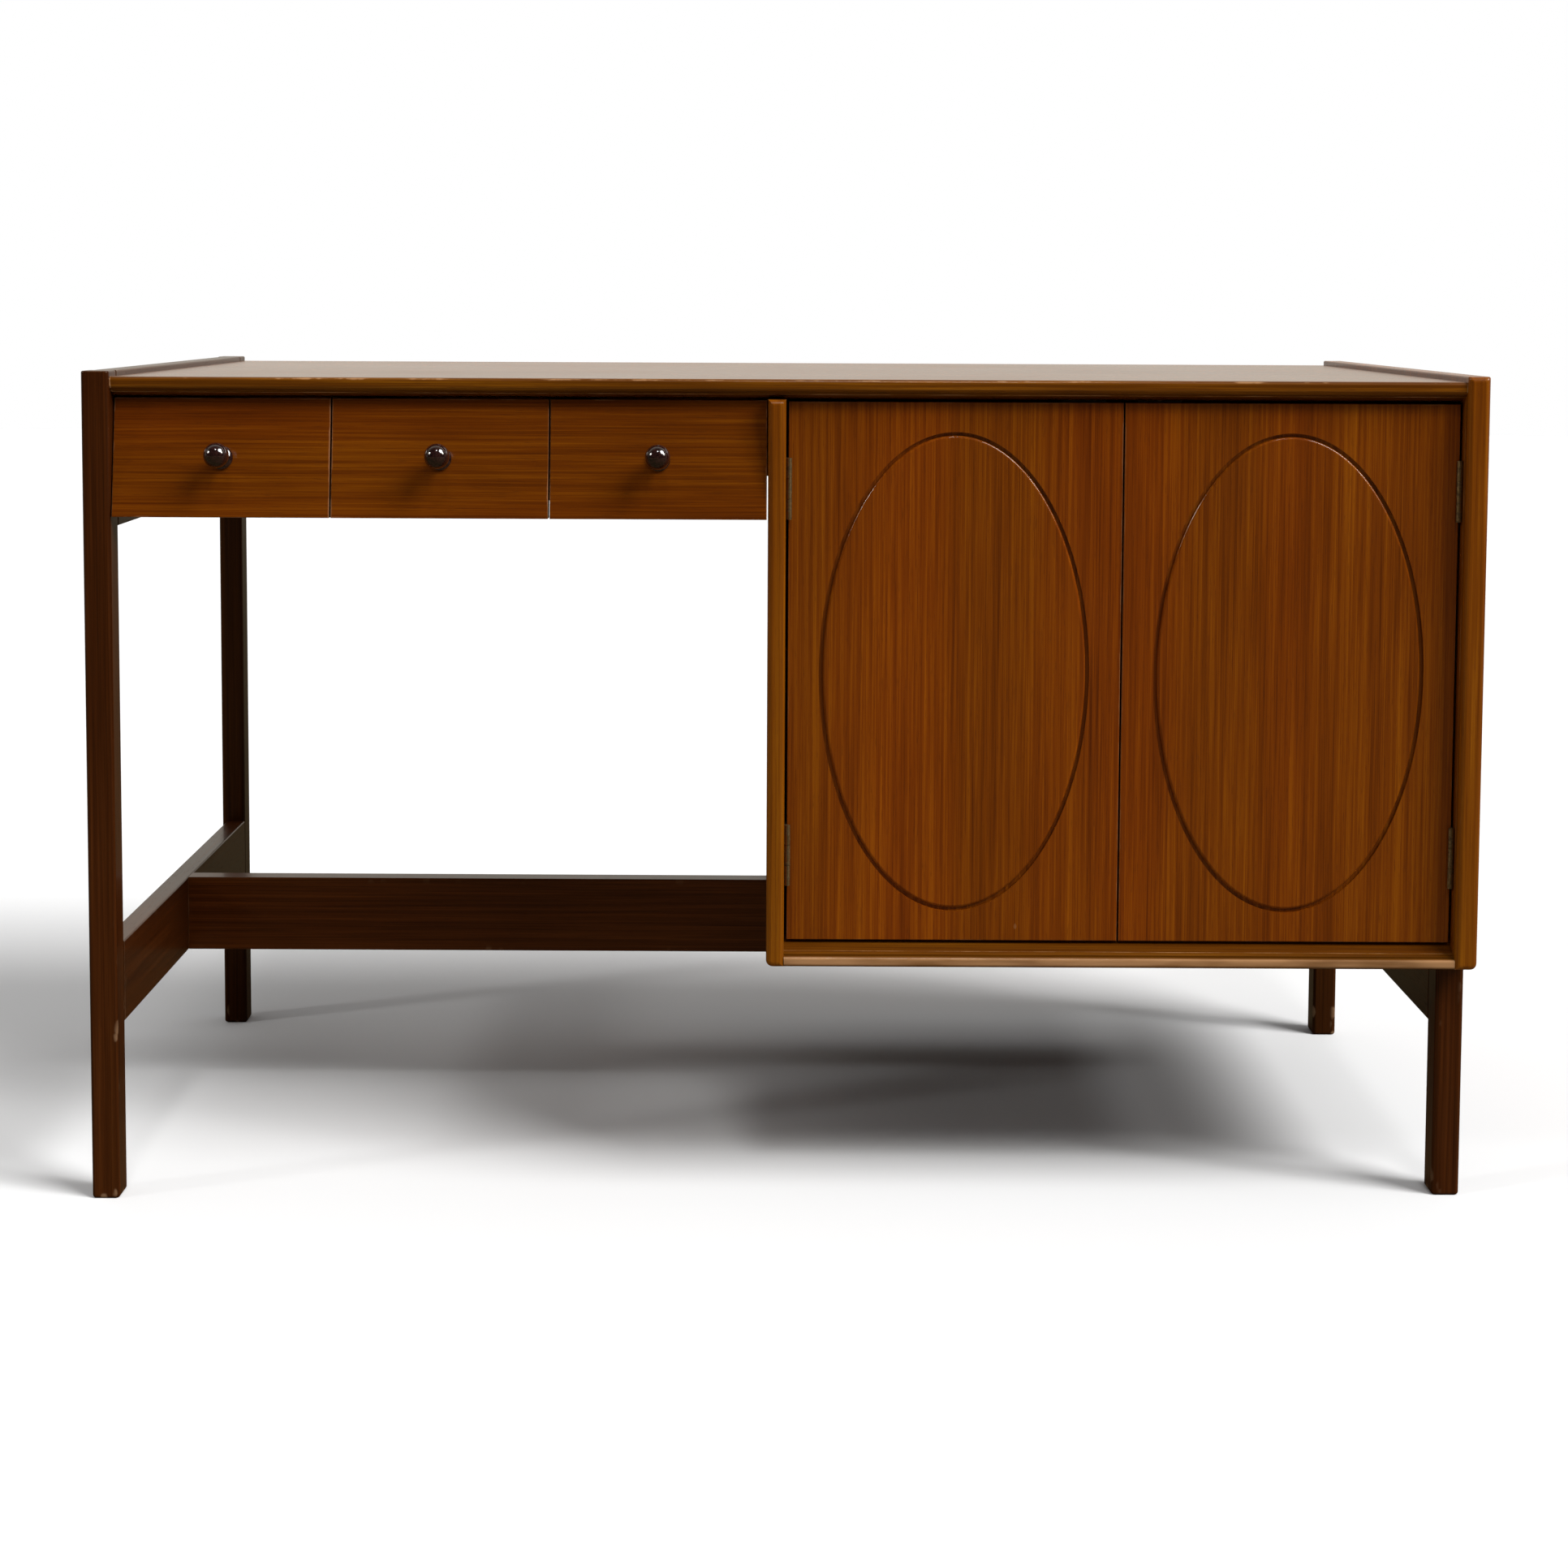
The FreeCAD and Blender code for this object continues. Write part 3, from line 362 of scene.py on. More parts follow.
@dataclass(frozen=True)
class Finish(ABC):
    """A surface finish that dresses pieces."""

    name: str

    @abstractmethod
    def paint(self, recipe: Recipe, low: Vector, high: Vector) -> dict[str, Any]:
        """Works out the shader's inputs.

        Args:
            recipe: The material's tree.
            low: The piece's lowest corner.
            high: The piece's highest corner.

        Returns:
            A value or a Shade for each input of the Principled shader.
        """

    def dress(self, piece: bpy.types.Object) -> None:
        """Gives a piece a material of its own in this finish.

        Args:
            piece: A mesh object whose place is in its mesh.
        """
        corners = [Vector(corner) for corner in piece.bound_box]
        low = Vector([min(c[axis] for c in corners) for axis in range(3)])
        high = Vector([max(c[axis] for c in corners) for axis in range(3)])
        material = bpy.data.materials.new(f"{self.name}_{piece.name}")
        material.use_nodes = True
        recipe = Recipe(material.node_tree)
        shader = recipe.node("ShaderNodeBsdfPrincipled", None, self.paint(recipe, low, high))
        recipe.deliver("ShaderNodeOutputMaterial", shader)
        piece.data.materials.clear()
        piece.data.materials.append(material)


@dataclass(frozen=True)
class Wood(Finish):
    """Lacquered wood with a straight grain.

    The colours run from the dark lines of the grain to its light ones. Where the lacquer wears
    through, along edges and in small chips, the pale wood under the stain shows. On panels' edge faces
    and on the front nosings the same pale colour is also a painted highlight, for the light that
    those edges catch. A scale is a number of spots per metre across the grain, and a ratio makes one
    scale from another.
    """

    grain: Grain = Grain.ACROSS
    dark: Colour = (0.051, 0.0092, 0.0002)
    middle: Colour = (0.112, 0.0242, 0.0004)
    light: Colour = (0.190, 0.0520, 0.0010)
    # Bare wood's pale colour, also painted as the highlight along panel edges and nosings.
    wear_and_highlight: Colour = (0.33, 0.155, 0.072)
    warm: Colour = (1.12, 0.86, 0.70)
    figure_scale: float = 26.0
    figure_ratio: float = 0.05
    streak_scale: float = 330.0
    streak_ratio: float = 0.010
    pore_share: float = 0.35
    relief: float = 0.00010
    gloss: float = 0.42
    sheen: float = 0.08
    coat: float = 0.0
    coat_gloss: float = 0.14
    glint: Colour = (1.0, 0.72, 0.40)
    # A panel's edge faces take the pale edge colour whole: some wear, and painted highlight lines.
    panel: bool = False
    # How strongly and how wide the edges are pale: wear, and partly painted highlight.
    edge_wear_and_highlight: float = 0.0
    edge_band_width: float = 0.0008
    chips: float = 0.0
    chip_height: float = 0.32
    specks: float = 0.0
    # The height of a nosing's pale band: painted highlight on its upper rounding, with patches of wear.
    wear_and_highlight_height: float = 0.0
    seed: float = 0.0

    # The grain: its finer layers, and how much each layer counts in the tone.
    hair_ratio: ClassVar[float] = 3.2
    pore_ratio: ClassVar[float] = 4.0
    pore_span: ClassVar[Span] = (0.60, 0.74)
    cloud_scale: ClassVar[float] = 4.2
    figure_share: ClassVar[float] = 0.26
    streak_share: ClassVar[float] = 0.48
    hair_share: ClassVar[float] = 0.26
    cloud_share: ClassVar[float] = 0.10
    tones: ClassVar[tuple[float, float, float]] = (0.33, 0.50, 0.68)
    ruddy_ratio: ClassVar[float] = 0.4
    ruddy_span: ClassVar[Span] = (0.40, 0.70)
    ruddy_share: ClassVar[float] = 0.55

    # What dulls the gloss, and what stands up or lies low in the relief.
    streak_dulls: ClassVar[float] = 0.10
    pore_dulls: ClassVar[float] = 0.10
    cloud_dulls: ClassVar[float] = 0.12
    wear_dulls: ClassVar[float] = 0.18
    streak_rise: ClassVar[float] = 0.6
    hair_rise: ClassVar[float] = 0.4
    pore_drop: ClassVar[float] = 0.8
    wear_drop: ClassVar[float] = 1.2
    relief_share: ClassVar[float] = 0.55

    # The pale band along the edges: wear, and on panels and nosings also a painted highlight. Its width
    # varies with the scuffs.
    scuff_scale: ClassVar[float] = 34.0
    scuff_span: ClassVar[Span] = (0.38, 0.72)
    least_reach: ClassVar[float] = 0.35
    more_reach: ClassVar[float] = 1.6
    edge_span: ClassVar[Span] = (1.0, 0.35)

    # The nosing's pale band below its height, in shares of that height, and its patches: an even painted
    # highlight on the upper rounding, with some wear, and patches of bare wood.
    nosing_span: ClassVar[Span] = (1.0, 0.85)
    nosing_foot: ClassVar[float] = 0.35
    patch_scale: ClassVar[float] = 60.0
    patch_ratio: ClassVar[float] = 0.16
    patch_span: ClassVar[Span] = (0.35, 0.62)
    even_band_share: ClassVar[float] = 0.30
    patch_share: ClassVar[float] = 0.45

    # The chips, near an edge and low down, and the specks, anywhere. Both are a little upright.
    upright_ratio: ClassVar[float] = 0.55
    chip_scale: ClassVar[float] = 75.0
    chip_ragged: ClassVar[float] = 0.5
    chip_span: ClassVar[Span] = (0.34, 0.22)
    chip_reach: ClassVar[Span] = (0.007, 0.002)
    chip_foot: ClassVar[float] = 0.2
    chip_group_scale: ClassVar[float] = 16.0
    chip_group_span: ClassVar[Span] = (0.50, 0.60)
    speck_scale: ClassVar[float] = 9.0
    speck_span: ClassVar[Span] = (0.017, 0.009)
    speck_group_scale: ClassVar[float] = 3.3
    speck_group_span: ClassVar[Span] = (0.50, 0.56)

    def paint(self, recipe: Recipe, low: Vector, high: Vector) -> dict[str, Any]:
        """Works out the grain, the wear and the gloss.

        Args:
            recipe: The material's tree.
            low: The board's lowest corner.
            high: The board's highest corner.

        Returns:
            The shader's inputs.
        """
        place = recipe.place()
        shift = (self.seed, 0.7 * self.seed, 1.3 * self.seed)
        broad = recipe.stretched(place, self.grain.stretch(self.figure_ratio), shift)
        fine = recipe.stretched(place, self.grain.stretch(self.streak_ratio), shift)
        figure = recipe.noise(broad, self.figure_scale, detail=3.0, rough=0.55, swirl=0.25)
        streaks = recipe.noise(fine, self.streak_scale, detail=4.0, rough=0.60)
        hairs = recipe.noise(fine, self.hair_ratio * self.streak_scale)
        pores = recipe.noise(broad, self.pore_ratio * self.streak_scale, detail=1.0).ramp(*self.pore_span)
        cloud = recipe.noise(place, self.cloud_scale) - 0.5

        tone = self.figure_share * figure + self.streak_share * streaks + self.hair_share * hairs
        colour = recipe.colours(
            tuple(zip(self.tones, (self.dark, self.middle, self.light))), tone + self.cloud_share * cloud)
        ruddy = recipe.noise(broad, self.ruddy_ratio * self.figure_scale, detail=1.0).ramp(*self.ruddy_span)
        colour = recipe.mix(ruddy * self.ruddy_share, colour, self.warm, "MULTIPLY")
        colour = recipe.mix(pores * self.pore_share, colour, self.dark)

        rough = (self.gloss + self.streak_dulls * (streaks - 0.5) + self.pore_dulls * pores
                 + self.cloud_dulls * cloud)
        height = self.streak_rise * streaks + self.hair_rise * hairs - self.pore_drop * pores
        if self.edge_wear_and_highlight or self.chips or self.specks or self.wear_and_highlight_height:
            # Pale edges, nosing band, chips and specks: wear, and on edges and nosings also painted
            # highlight.
            wear_and_highlight = self._wear_and_highlights(recipe, place, low, high)
            colour = recipe.mix(wear_and_highlight, colour, self.wear_and_highlight)
            rough = rough + self.wear_dulls * wear_and_highlight
            height = height - self.wear_drop * wear_and_highlight
        return {
            "Base Color": colour,
            "Roughness": rough,
            "Specular IOR Level": self.sheen,
            "Specular Tint": (*self.glint, 1.0),
            "Coat Weight": self.coat,
            "Coat Roughness": self.coat_gloss,
            "Normal": recipe.bumped(height, self.relief, self.relief_share),
        }

    def _wear_and_highlights(self, recipe: Recipe, place: Shade, low: Vector, high: Vector) -> Shade:
        """The pale wood along the edges, part wear and part painted highlight, in small chips near them and
        in a few specks.

        Args:
            recipe: The material's tree.
            place: The coordinates.
            low: The board's lowest corner.
            high: The board's highest corner.

        Returns:
            A mask of the bare spots and the painted edge highlights.
        """
        edge = recipe.edge_distance(place, low, high, self.panel)
        scuffs = recipe.noise(place, self.scuff_scale, detail=4.0, rough=0.65)
        reach = self.edge_band_width * (self.least_reach + self.more_reach * scuffs.ramp(*self.scuff_span))
        # Painted highlight and wear along the edges.
        wear_and_highlight = (edge / reach).ramp(*self.edge_span) * self.edge_wear_and_highlight
        if self.wear_and_highlight_height:
            wear_and_highlight = wear_and_highlight.most(self._nosing_wear_and_highlight(recipe, place, low))
        moved = recipe.stretched(place, (1.0, 1.0, self.upright_ratio), (self.seed, 0.0, 0.0))
        if self.chips:
            wear_and_highlight = wear_and_highlight.most(self._chipped(recipe, moved, edge, scuffs) * self.chips)
        if self.specks:
            speck = recipe.cells(moved, self.speck_scale).ramp(*self.speck_span)
            few = recipe.noise(moved, self.speck_group_scale, detail=0.0).ramp(*self.speck_group_span)
            wear_and_highlight = wear_and_highlight.most(speck * few * self.specks)
        return wear_and_highlight.least(1.0)

    def _nosing_wear_and_highlight(self, recipe: Recipe, place: Shade, low: Vector) -> Shade:
        """A pale band up to its height above the board's foot: an even painted highlight, with patches of
        bare wood.

        Args:
            recipe: The material's tree.
            place: The coordinates.
            low: The board's lowest corner.

        Returns:
            A mask of the painted highlight and the bare patches.
        """
        height = recipe.part(place, 2) - low.z
        start, full = (share * self.wear_and_highlight_height for share in self.nosing_span)
        # The even part of the band is a painted highlight; the patches are scuffed bare wood.
        wear_and_highlight_band = height.ramp(start, full) * height.ramp(0.0, self.nosing_foot * self.wear_and_highlight_height)
        drawn_out = recipe.stretched(place, (self.patch_ratio, 1.0, 1.0), (self.seed, 0.0, 0.0))
        patchy = recipe.noise(drawn_out, self.patch_scale, detail=3.0).ramp(*self.patch_span)
        return wear_and_highlight_band * (self.even_band_share + self.patch_share * patchy)

    def _chipped(self, recipe: Recipe, moved: Shade, edge: Shade, scuffs: Shade) -> Shade:
        """The ragged chips near an edge, in groups, and more of them low down.

        Args:
            recipe: The material's tree.
            moved: The coordinates, drawn out upright.
            edge: The distance to the nearest edge.
            scuffs: The noise that makes the chips ragged.

        Returns:
            A mask of the chips.
        """
        ragged = recipe.cells(moved, self.chip_scale) + self.chip_ragged * (scuffs - 0.5)
        groups = recipe.noise(moved, self.chip_group_scale, detail=1.0).ramp(*self.chip_group_span)
        height = recipe.part(recipe.place(), 2)
        near_foot = height.ramp(self.chip_height, self.chip_foot * self.chip_height)
        return ragged.ramp(*self.chip_span) * groups * edge.ramp(*self.chip_reach) * near_foot


@dataclass(frozen=True)
class DarkStain(Wood):
    """The nearly black stain of the leg frame, chipped where feet and chairs have met it."""

    dark: Colour = (0.0150, 0.0033, 0.0004)
    middle: Colour = (0.0390, 0.0098, 0.0014)
    light: Colour = (0.0730, 0.0210, 0.0036)
    wear_and_highlight: Colour = (0.26, 0.150, 0.080)
    streak_scale: float = 300.0
    pore_share: float = 0.2
    gloss: float = 0.34
    sheen: float = 0.16
    coat: float = 0.22
    coat_gloss: float = 0.12
    edge_wear_and_highlight: float = 0.28
    edge_band_width: float = 0.0006
    chips: float = 0.8


@dataclass(frozen=True)
class Lipping(Wood):
    """Solid teak strips that take the knocks, pale along their rounding: wear, and on the front nosings
    also a painted highlight.
    """

    dark: Colour = (0.084, 0.0192, 0.0002)
    middle: Colour = (0.168, 0.0468, 0.0004)
    light: Colour = (0.276, 0.0960, 0.0020)
    wear_and_highlight: Colour = (0.46, 0.245, 0.110)
    edge_wear_and_highlight: float = 0.75
    edge_band_width: float = 0.0011
    gloss: float = 0.36
    sheen: float = 0.15
    coat: float = 0.35


@dataclass(frozen=True)
class DoorVeneer(Wood):
    """The doors' upright veneer, a shade lighter than the drawer fronts."""

    grain: Grain = Grain.UPRIGHT
    dark: Colour = (0.0745, 0.0133, 0.0002)
    middle: Colour = (0.160, 0.0340, 0.0004)
    light: Colour = (0.268, 0.0745, 0.0010)
    coat: float = 0.50
    coat_gloss: float = 0.10
    wear_and_highlight: Colour = (0.30, 0.150, 0.060)
    edge_wear_and_highlight: float = 0.32
    specks: float = 0.9


@dataclass(frozen=True)
class DrawerWood(Wood):
    """Plain pale wood, sealed with one thin coat."""

    dark: Colour = (0.30, 0.17, 0.080)
    middle: Colour = (0.46, 0.29, 0.150)
    light: Colour = (0.60, 0.41, 0.240)
    wear_and_highlight: Colour = (0.66, 0.49, 0.32)
    warm: Colour = (1.05, 0.94, 0.82)
    gloss: float = 0.55
    sheen: float = 0.30


@dataclass(frozen=True)
class Plywood(Wood):
    """Thin plywood with a rotary-cut face, whose figure is broad and lazy."""

    dark: Colour = (0.29, 0.145, 0.062)
    middle: Colour = (0.41, 0.228, 0.108)
    light: Colour = (0.52, 0.31, 0.165)
    warm: Colour = (1.05, 0.90, 0.78)
    figure_scale: float = 9.0
    streak_scale: float = 120.0
    streak_ratio: float = 0.05
    gloss: float = 0.60
    sheen: float = 0.25


@dataclass(frozen=True)
class Lacquer(Finish):
    """A turned knob's dark, glossy lacquer over wood."""

    dark: Colour = (0.0075, 0.0022, 0.0018)
    light: Colour = (0.030, 0.0095, 0.0075)
    gloss: float = 0.10
    smudge_dulls: float = 0.10
    coat_gloss: float = 0.05
    line_scale: float = 900.0
    line_ratio: float = 0.12
    smudge_scale: float = 240.0
    ripple_scale: float = 420.0
    ripple_deep: float = 0.00012

    def paint(self, recipe: Recipe, low: Vector, high: Vector) -> dict[str, Any]:
        """Works out the faint grain under the lacquer.

        Args:
            recipe: The material's tree.
            low: The knob's lowest corner.
            high: Not used.

        Returns:
            The shader's inputs.
        """
        place = recipe.place()
        along = recipe.stretched(place, (1.0, self.line_ratio, 1.0), tuple(low))
        lines = recipe.noise(along, self.line_scale, detail=3.0, rough=0.55)
        smudge = recipe.noise(place, self.smudge_scale)
        ripple = recipe.noise(place, self.ripple_scale, detail=1.0)
        return {
            "Base Color": recipe.mix(lines.ramp(0.35, 0.7), self.dark, self.light),
            "Roughness": self.gloss + self.smudge_dulls * smudge.ramp(0.45, 0.75),
            "Coat Weight": 1.0,
            "Coat Roughness": self.coat_gloss,
            "Normal": recipe.bumped(ripple, self.ripple_deep, 0.5),
        }


@dataclass(frozen=True)
class Metal(Finish):
    """Rolled or turned metal with a tarnish."""

    clean: Colour = (0.26, 0.170, 0.075)
    tarnish: Colour = (0.050, 0.028, 0.012)
    gloss: float = 0.42
    tarnished: float = 0.8
    tarnish_dulls: float = 0.25
    tarnish_hides: float = 0.35
    scratch_dulls: float = 0.10
    tarnish_scale: float = 160.0
    scratch_scale: float = 2600.0
    scratch_ratio: float = 0.05
    scratch_deep: float = 0.00004

    def paint(self, recipe: Recipe, low: Vector, high: Vector) -> dict[str, Any]:
        """Works out the tarnish and the fine scratches.

        Args:
            recipe: The material's tree.
            low: The piece's lowest corner.
            high: Not used.

        Returns:
            The shader's inputs.
        """
        place = recipe.place()
        cloud = recipe.noise(place, self.tarnish_scale, detail=4.0, rough=0.65)
        along = recipe.stretched(place, (1.0, 1.0, self.scratch_ratio), tuple(low))
        scratches = recipe.noise(along, self.scratch_scale)
        old = cloud.ramp(0.40, 0.66) * self.tarnished
        return {
            "Base Color": recipe.mix(old, self.clean, self.tarnish),
            "Metallic": 1.0 - self.tarnish_hides * old,
            "Roughness": self.gloss + self.tarnish_dulls * old + self.scratch_dulls * (scratches - 0.5),
            "Normal": recipe.bumped(scratches, self.scratch_deep, 0.5),
        }


@dataclass(frozen=True)
class Plastic(Finish):
    """Moulded plastic with a fine spark texture."""

    body: Colour = (0.60, 0.55, 0.46)
    dusty: Colour = (0.42, 0.37, 0.29)
    gloss: float = 0.45
    grime_dulls: float = 0.15
    grime_scale: float = 120.0
    texture_scale: float = 2200.0
    texture_deep: float = 0.00006

    def paint(self, recipe: Recipe, low: Vector, high: Vector) -> dict[str, Any]:
        """Works out the grime and the moulded texture.

        Args:
            recipe: The material's tree.
            low: Not used.
            high: Not used.

        Returns:
            The shader's inputs.
        """
        place = recipe.place()
        grime = recipe.noise(place, self.grime_scale, detail=3.0, rough=0.6)
        texture = recipe.cells(place, self.texture_scale)
        return {
            "Base Color": recipe.mix(grime.ramp(0.42, 0.75), self.body, self.dusty),
            "Roughness": self.gloss + self.grime_dulls * grime,
            "Normal": recipe.bumped(texture, self.texture_deep, 0.4),
        }


STEEL = Metal("screw_steel", clean=(0.55, 0.54, 0.52), tarnish=(0.20, 0.18, 0.16))
"""Zinc-plated steel."""
BRASS = Metal("hinge_brass")
"""The hinges' and their screws' brass."""


# ------------------------------------------------------------------ fine fittings


class Bench:
    """One new mesh on the bench, shaped in edit mode by picking faces and working them."""

    FACING = 0.9
    """How squarely a face must look along an axis to count as facing it."""
    CLOSE = 1e-6
    """Places nearer than this are the same place."""

    def __init__(self, name: str, add: Callable[..., Any], **sizes: Any) -> None:
        """Adds a primitive and opens it for shaping.

        Args:
            name: The piece's name.
            add: The operator that adds the primitive.
            sizes: The primitive's size and place.
        """
        bpy.ops.object.select_all(action="DESELECT")
        add(**sizes)
        self.piece = bpy.context.active_object
        self.piece.name = name
        bpy.ops.object.transform_apply(location=True, rotation=True, scale=True)
        bpy.ops.object.mode_set(mode="EDIT")
        bpy.ops.mesh.select_mode(type="FACE")

    def pick(self, wanted: FaceTest) -> None:
        """Selects the faces that pass a test, and nothing else."""
        bpy.ops.mesh.select_all(action="DESELECT")
        mesh = bmesh.from_edit_mesh(self.piece.data)
        mesh.normal_update()
        for face in mesh.faces:
            if wanted(face):
                face.select_set(True)
        bmesh.update_edit_mesh(self.piece.data)

    def middle(self) -> Vector:
        """The mean place of the selected corners."""
        mesh = bmesh.from_edit_mesh(self.piece.data)
        corners = [corner.co for corner in mesh.verts if corner.select]
        return sum(corners, Vector()) / len(corners)

    def push(self, move: Sequence[float], grow: float = 1.0) -> None:
        """Extrudes the selected faces and then resizes them about their middle.

        Args:
            move: How far the faces go.
            grow: Their new size as a share of the old.
        """
        bpy.ops.mesh.extrude_region_move(TRANSFORM_OT_translate={"value": tuple(move)})
        if grow != 1.0:
            bpy.ops.transform.resize(value=(grow, grow, grow), center_override=self.middle())

    def inset(self, width: float) -> None:
        """Insets the selected faces."""
        bpy.ops.mesh.inset(thickness=width, depth=0.0)

    def split(self, place: Sequence[float], across: Sequence[float]) -> None:
        """Cuts the selected faces along a plane."""
        bpy.ops.mesh.bisect(plane_co=tuple(place), plane_no=tuple(across))

    def ease(self, width: float) -> None:
        """Rounds every edge of the piece."""
        bpy.ops.mesh.select_all(action="SELECT")
        bpy.ops.mesh.bevel(offset=width, segments=2, affect="EDGES")

    def finish(self) -> bpy.types.Object:
        """Closes the mesh, points its faces outwards and smooths its gentle edges.

        Returns:
            The finished piece.
        """
        bpy.ops.mesh.select_all(action="SELECT")
        bpy.ops.mesh.remove_doubles(threshold=1e-7)
        bpy.ops.mesh.normals_make_consistent(inside=False)
        bpy.ops.object.mode_set(mode="OBJECT")
        bpy.ops.object.shade_smooth_by_angle(angle=math.radians(35.0))
        return self.piece


@dataclass(frozen=True)
class Fastener(ABC):
    """A round fastener. It is modelled with its head's face at the origin, pointing down.

    The head and the shank are given by their radii.
    """

    head: float
    head_tall: float
    shank: float
    length: float

    facets: ClassVar[int] = 24
    next_turn: ClassVar[float] = 2.1
    """How much further each copy is turned than the last, in radians, as hands leave screws."""

    @abstractmethod
    def build(self, name: str) -> bpy.types.Object:
        """Models one fastener.

        Args:
            name: The piece's name.

        Returns:
            The fastener.
        """

    def blank(self, name: str, plain: float) -> Bench:
        """Starts from the plain part of the shank, right below the head."""
        top = -self.head_tall
        return Bench(
            name, bpy.ops.mesh.primitive_cylinder_add, vertices=self.facets, radius=self.shank,
            depth=plain, location=(0.0, 0.0, top - plain / 2),
        )

    def set_out(self, name: str, spots: Sequence[Spot]) -> bpy.types.Object:
        """Copies the fastener to each spot and joins the copies into one piece.

        Args:
            name: The joined piece's name.
            spots: Where each head's face is, and the way that its fastener points.

        Returns:
            The joined piece.
        """
        model = self.build(name)
        copies = []
        for index, (point, way) in enumerate(spots):
            copy = model.copy()
            copy.data = model.data.copy()
            bpy.context.scene.collection.objects.link(copy)
            aim = way.to_track_quat("-Z", "Y").to_matrix().to_4x4()
            turn = Matrix.Rotation(self.next_turn * index, 4, "Z")
            copy.matrix_world = Matrix.Translation(point) @ aim @ turn
            copies.append(copy)
        bpy.data.objects.remove(model)
        bpy.ops.object.select_all(action="DESELECT")
        for copy in copies:
            copy.select_set(True)
        bpy.ops.object.transform_apply(location=True, rotation=True, scale=True)
        return joined(name, copies)


@dataclass(frozen=True)
class Screw(Fastener):
    """A slotted screw with a countersunk or a raised head.

    The shares of the plain shank and of the point are of the length below the head. The other
    shares are of the head's radius or height, and thread_root and tip are of the shank's radius.
    """

    raised: bool = False
    turns: int = 7

    plain_share: ClassVar[float] = 0.3
    point_share: ClassVar[float] = 0.1
    thread_root: ClassVar[float] = 0.78
    tip: ClassVar[float] = 0.3
    wall_share: ClassVar[float] = 0.65
    crown_share: ClassVar[float] = 0.84
    rim_share: ClassVar[float] = 0.10
    slot_wide: ClassVar[float] = 0.24
    slot_long: ClassVar[float] = 0.65
    slot_deep: ClassVar[float] = 0.6

    def build(self, name: str) -> bpy.types.Object:
        """Models the shank, the thread, the point, the head and the slot.

        Args:
            name: The piece's name.

        Returns:
            The screw.
        """
        below = self.length - self.head_tall
        plain = self.plain_share * below
        point = self.point_share * below
        rise = (below - plain - point) / (2 * self.turns)
        bench = self.blank(name, plain)
        bench.pick(lambda face: face.normal.z < -Bench.FACING)
        for _ in range(self.turns):
            bench.push((0.0, 0.0, -rise), self.thread_root)
            bench.push((0.0, 0.0, -rise), 1.0 / self.thread_root)
        bench.push((0.0, 0.0, -point), self.tip)
        bench.pick(lambda face: face.normal.z > Bench.FACING)
        if self.raised:
            bench.push((0.0, 0.0, 0.0), self.head / self.shank)
            bench.push((0.0, 0.0, self.wall_share * self.head_tall))
            bench.push((0.0, 0.0, (1.0 - self.wall_share) * self.head_tall), self.crown_share)
        else:
            bench.push((0.0, 0.0, self.head_tall), self.head / self.shank)
        bench.inset(self.rim_share * self.head)
        self._slot(bench)
        return bench.finish()

    def _slot(self, bench: Bench) -> None:
        """Sinks the driver's slot into the head's face.

        Args:
            bench: The screw on the bench.
        """
        half = self.slot_wide * self.head / 2
        reach = self.slot_long * self.head

        def on_face(face: bmesh.types.BMFace) -> bool:
            """Whether a face is part of the head's flat face."""
            spot = face.calc_center_median()
            return face.normal.z > Bench.FACING and spot.xy.length < reach and spot.z > -Bench.CLOSE

        for side in (-half, half):
            bench.pick(on_face)
            bench.split((0.0, side, 0.0), (0.0, 1.0, 0.0))
        bench.pick(lambda face: on_face(face) and abs(face.calc_center_median().y) < half / 2)
        bench.push((0.0, 0.0, -self.slot_deep * self.head_tall))


@dataclass(frozen=True)
class Pin(Fastener):
    """A round-headed panel pin."""

    point_share: ClassVar[float] = 0.15
    tip: ClassVar[float] = 0.2
    dome: ClassVar[Sequence[tuple[float, float]]] = ((0.4, 1.0), (0.4, 0.80), (0.2, 0.55))
    """Each ring of the domed head: its share of the height, and its size as a share of the last."""

    def build(self, name: str) -> bpy.types.Object:
        """Models the shank, the point and the domed head.

        Args:
            name: The piece's name.

        Returns:
            The pin.
        """
        below = self.length - self.head_tall
        bench = self.blank(name, (1.0 - self.point_share) * below)
        bench.pick(lambda face: face.normal.z < -Bench.FACING)
        bench.push((0.0, 0.0, -self.point_share * below), self.tip)
        bench.pick(lambda face: face.normal.z > Bench.FACING)
        bench.push((0.0, 0.0, 0.0), self.head / self.shank)
        for rise, grow in self.dome:
            bench.push((0.0, 0.0, rise * self.head_tall), grow)
        return bench.finish()


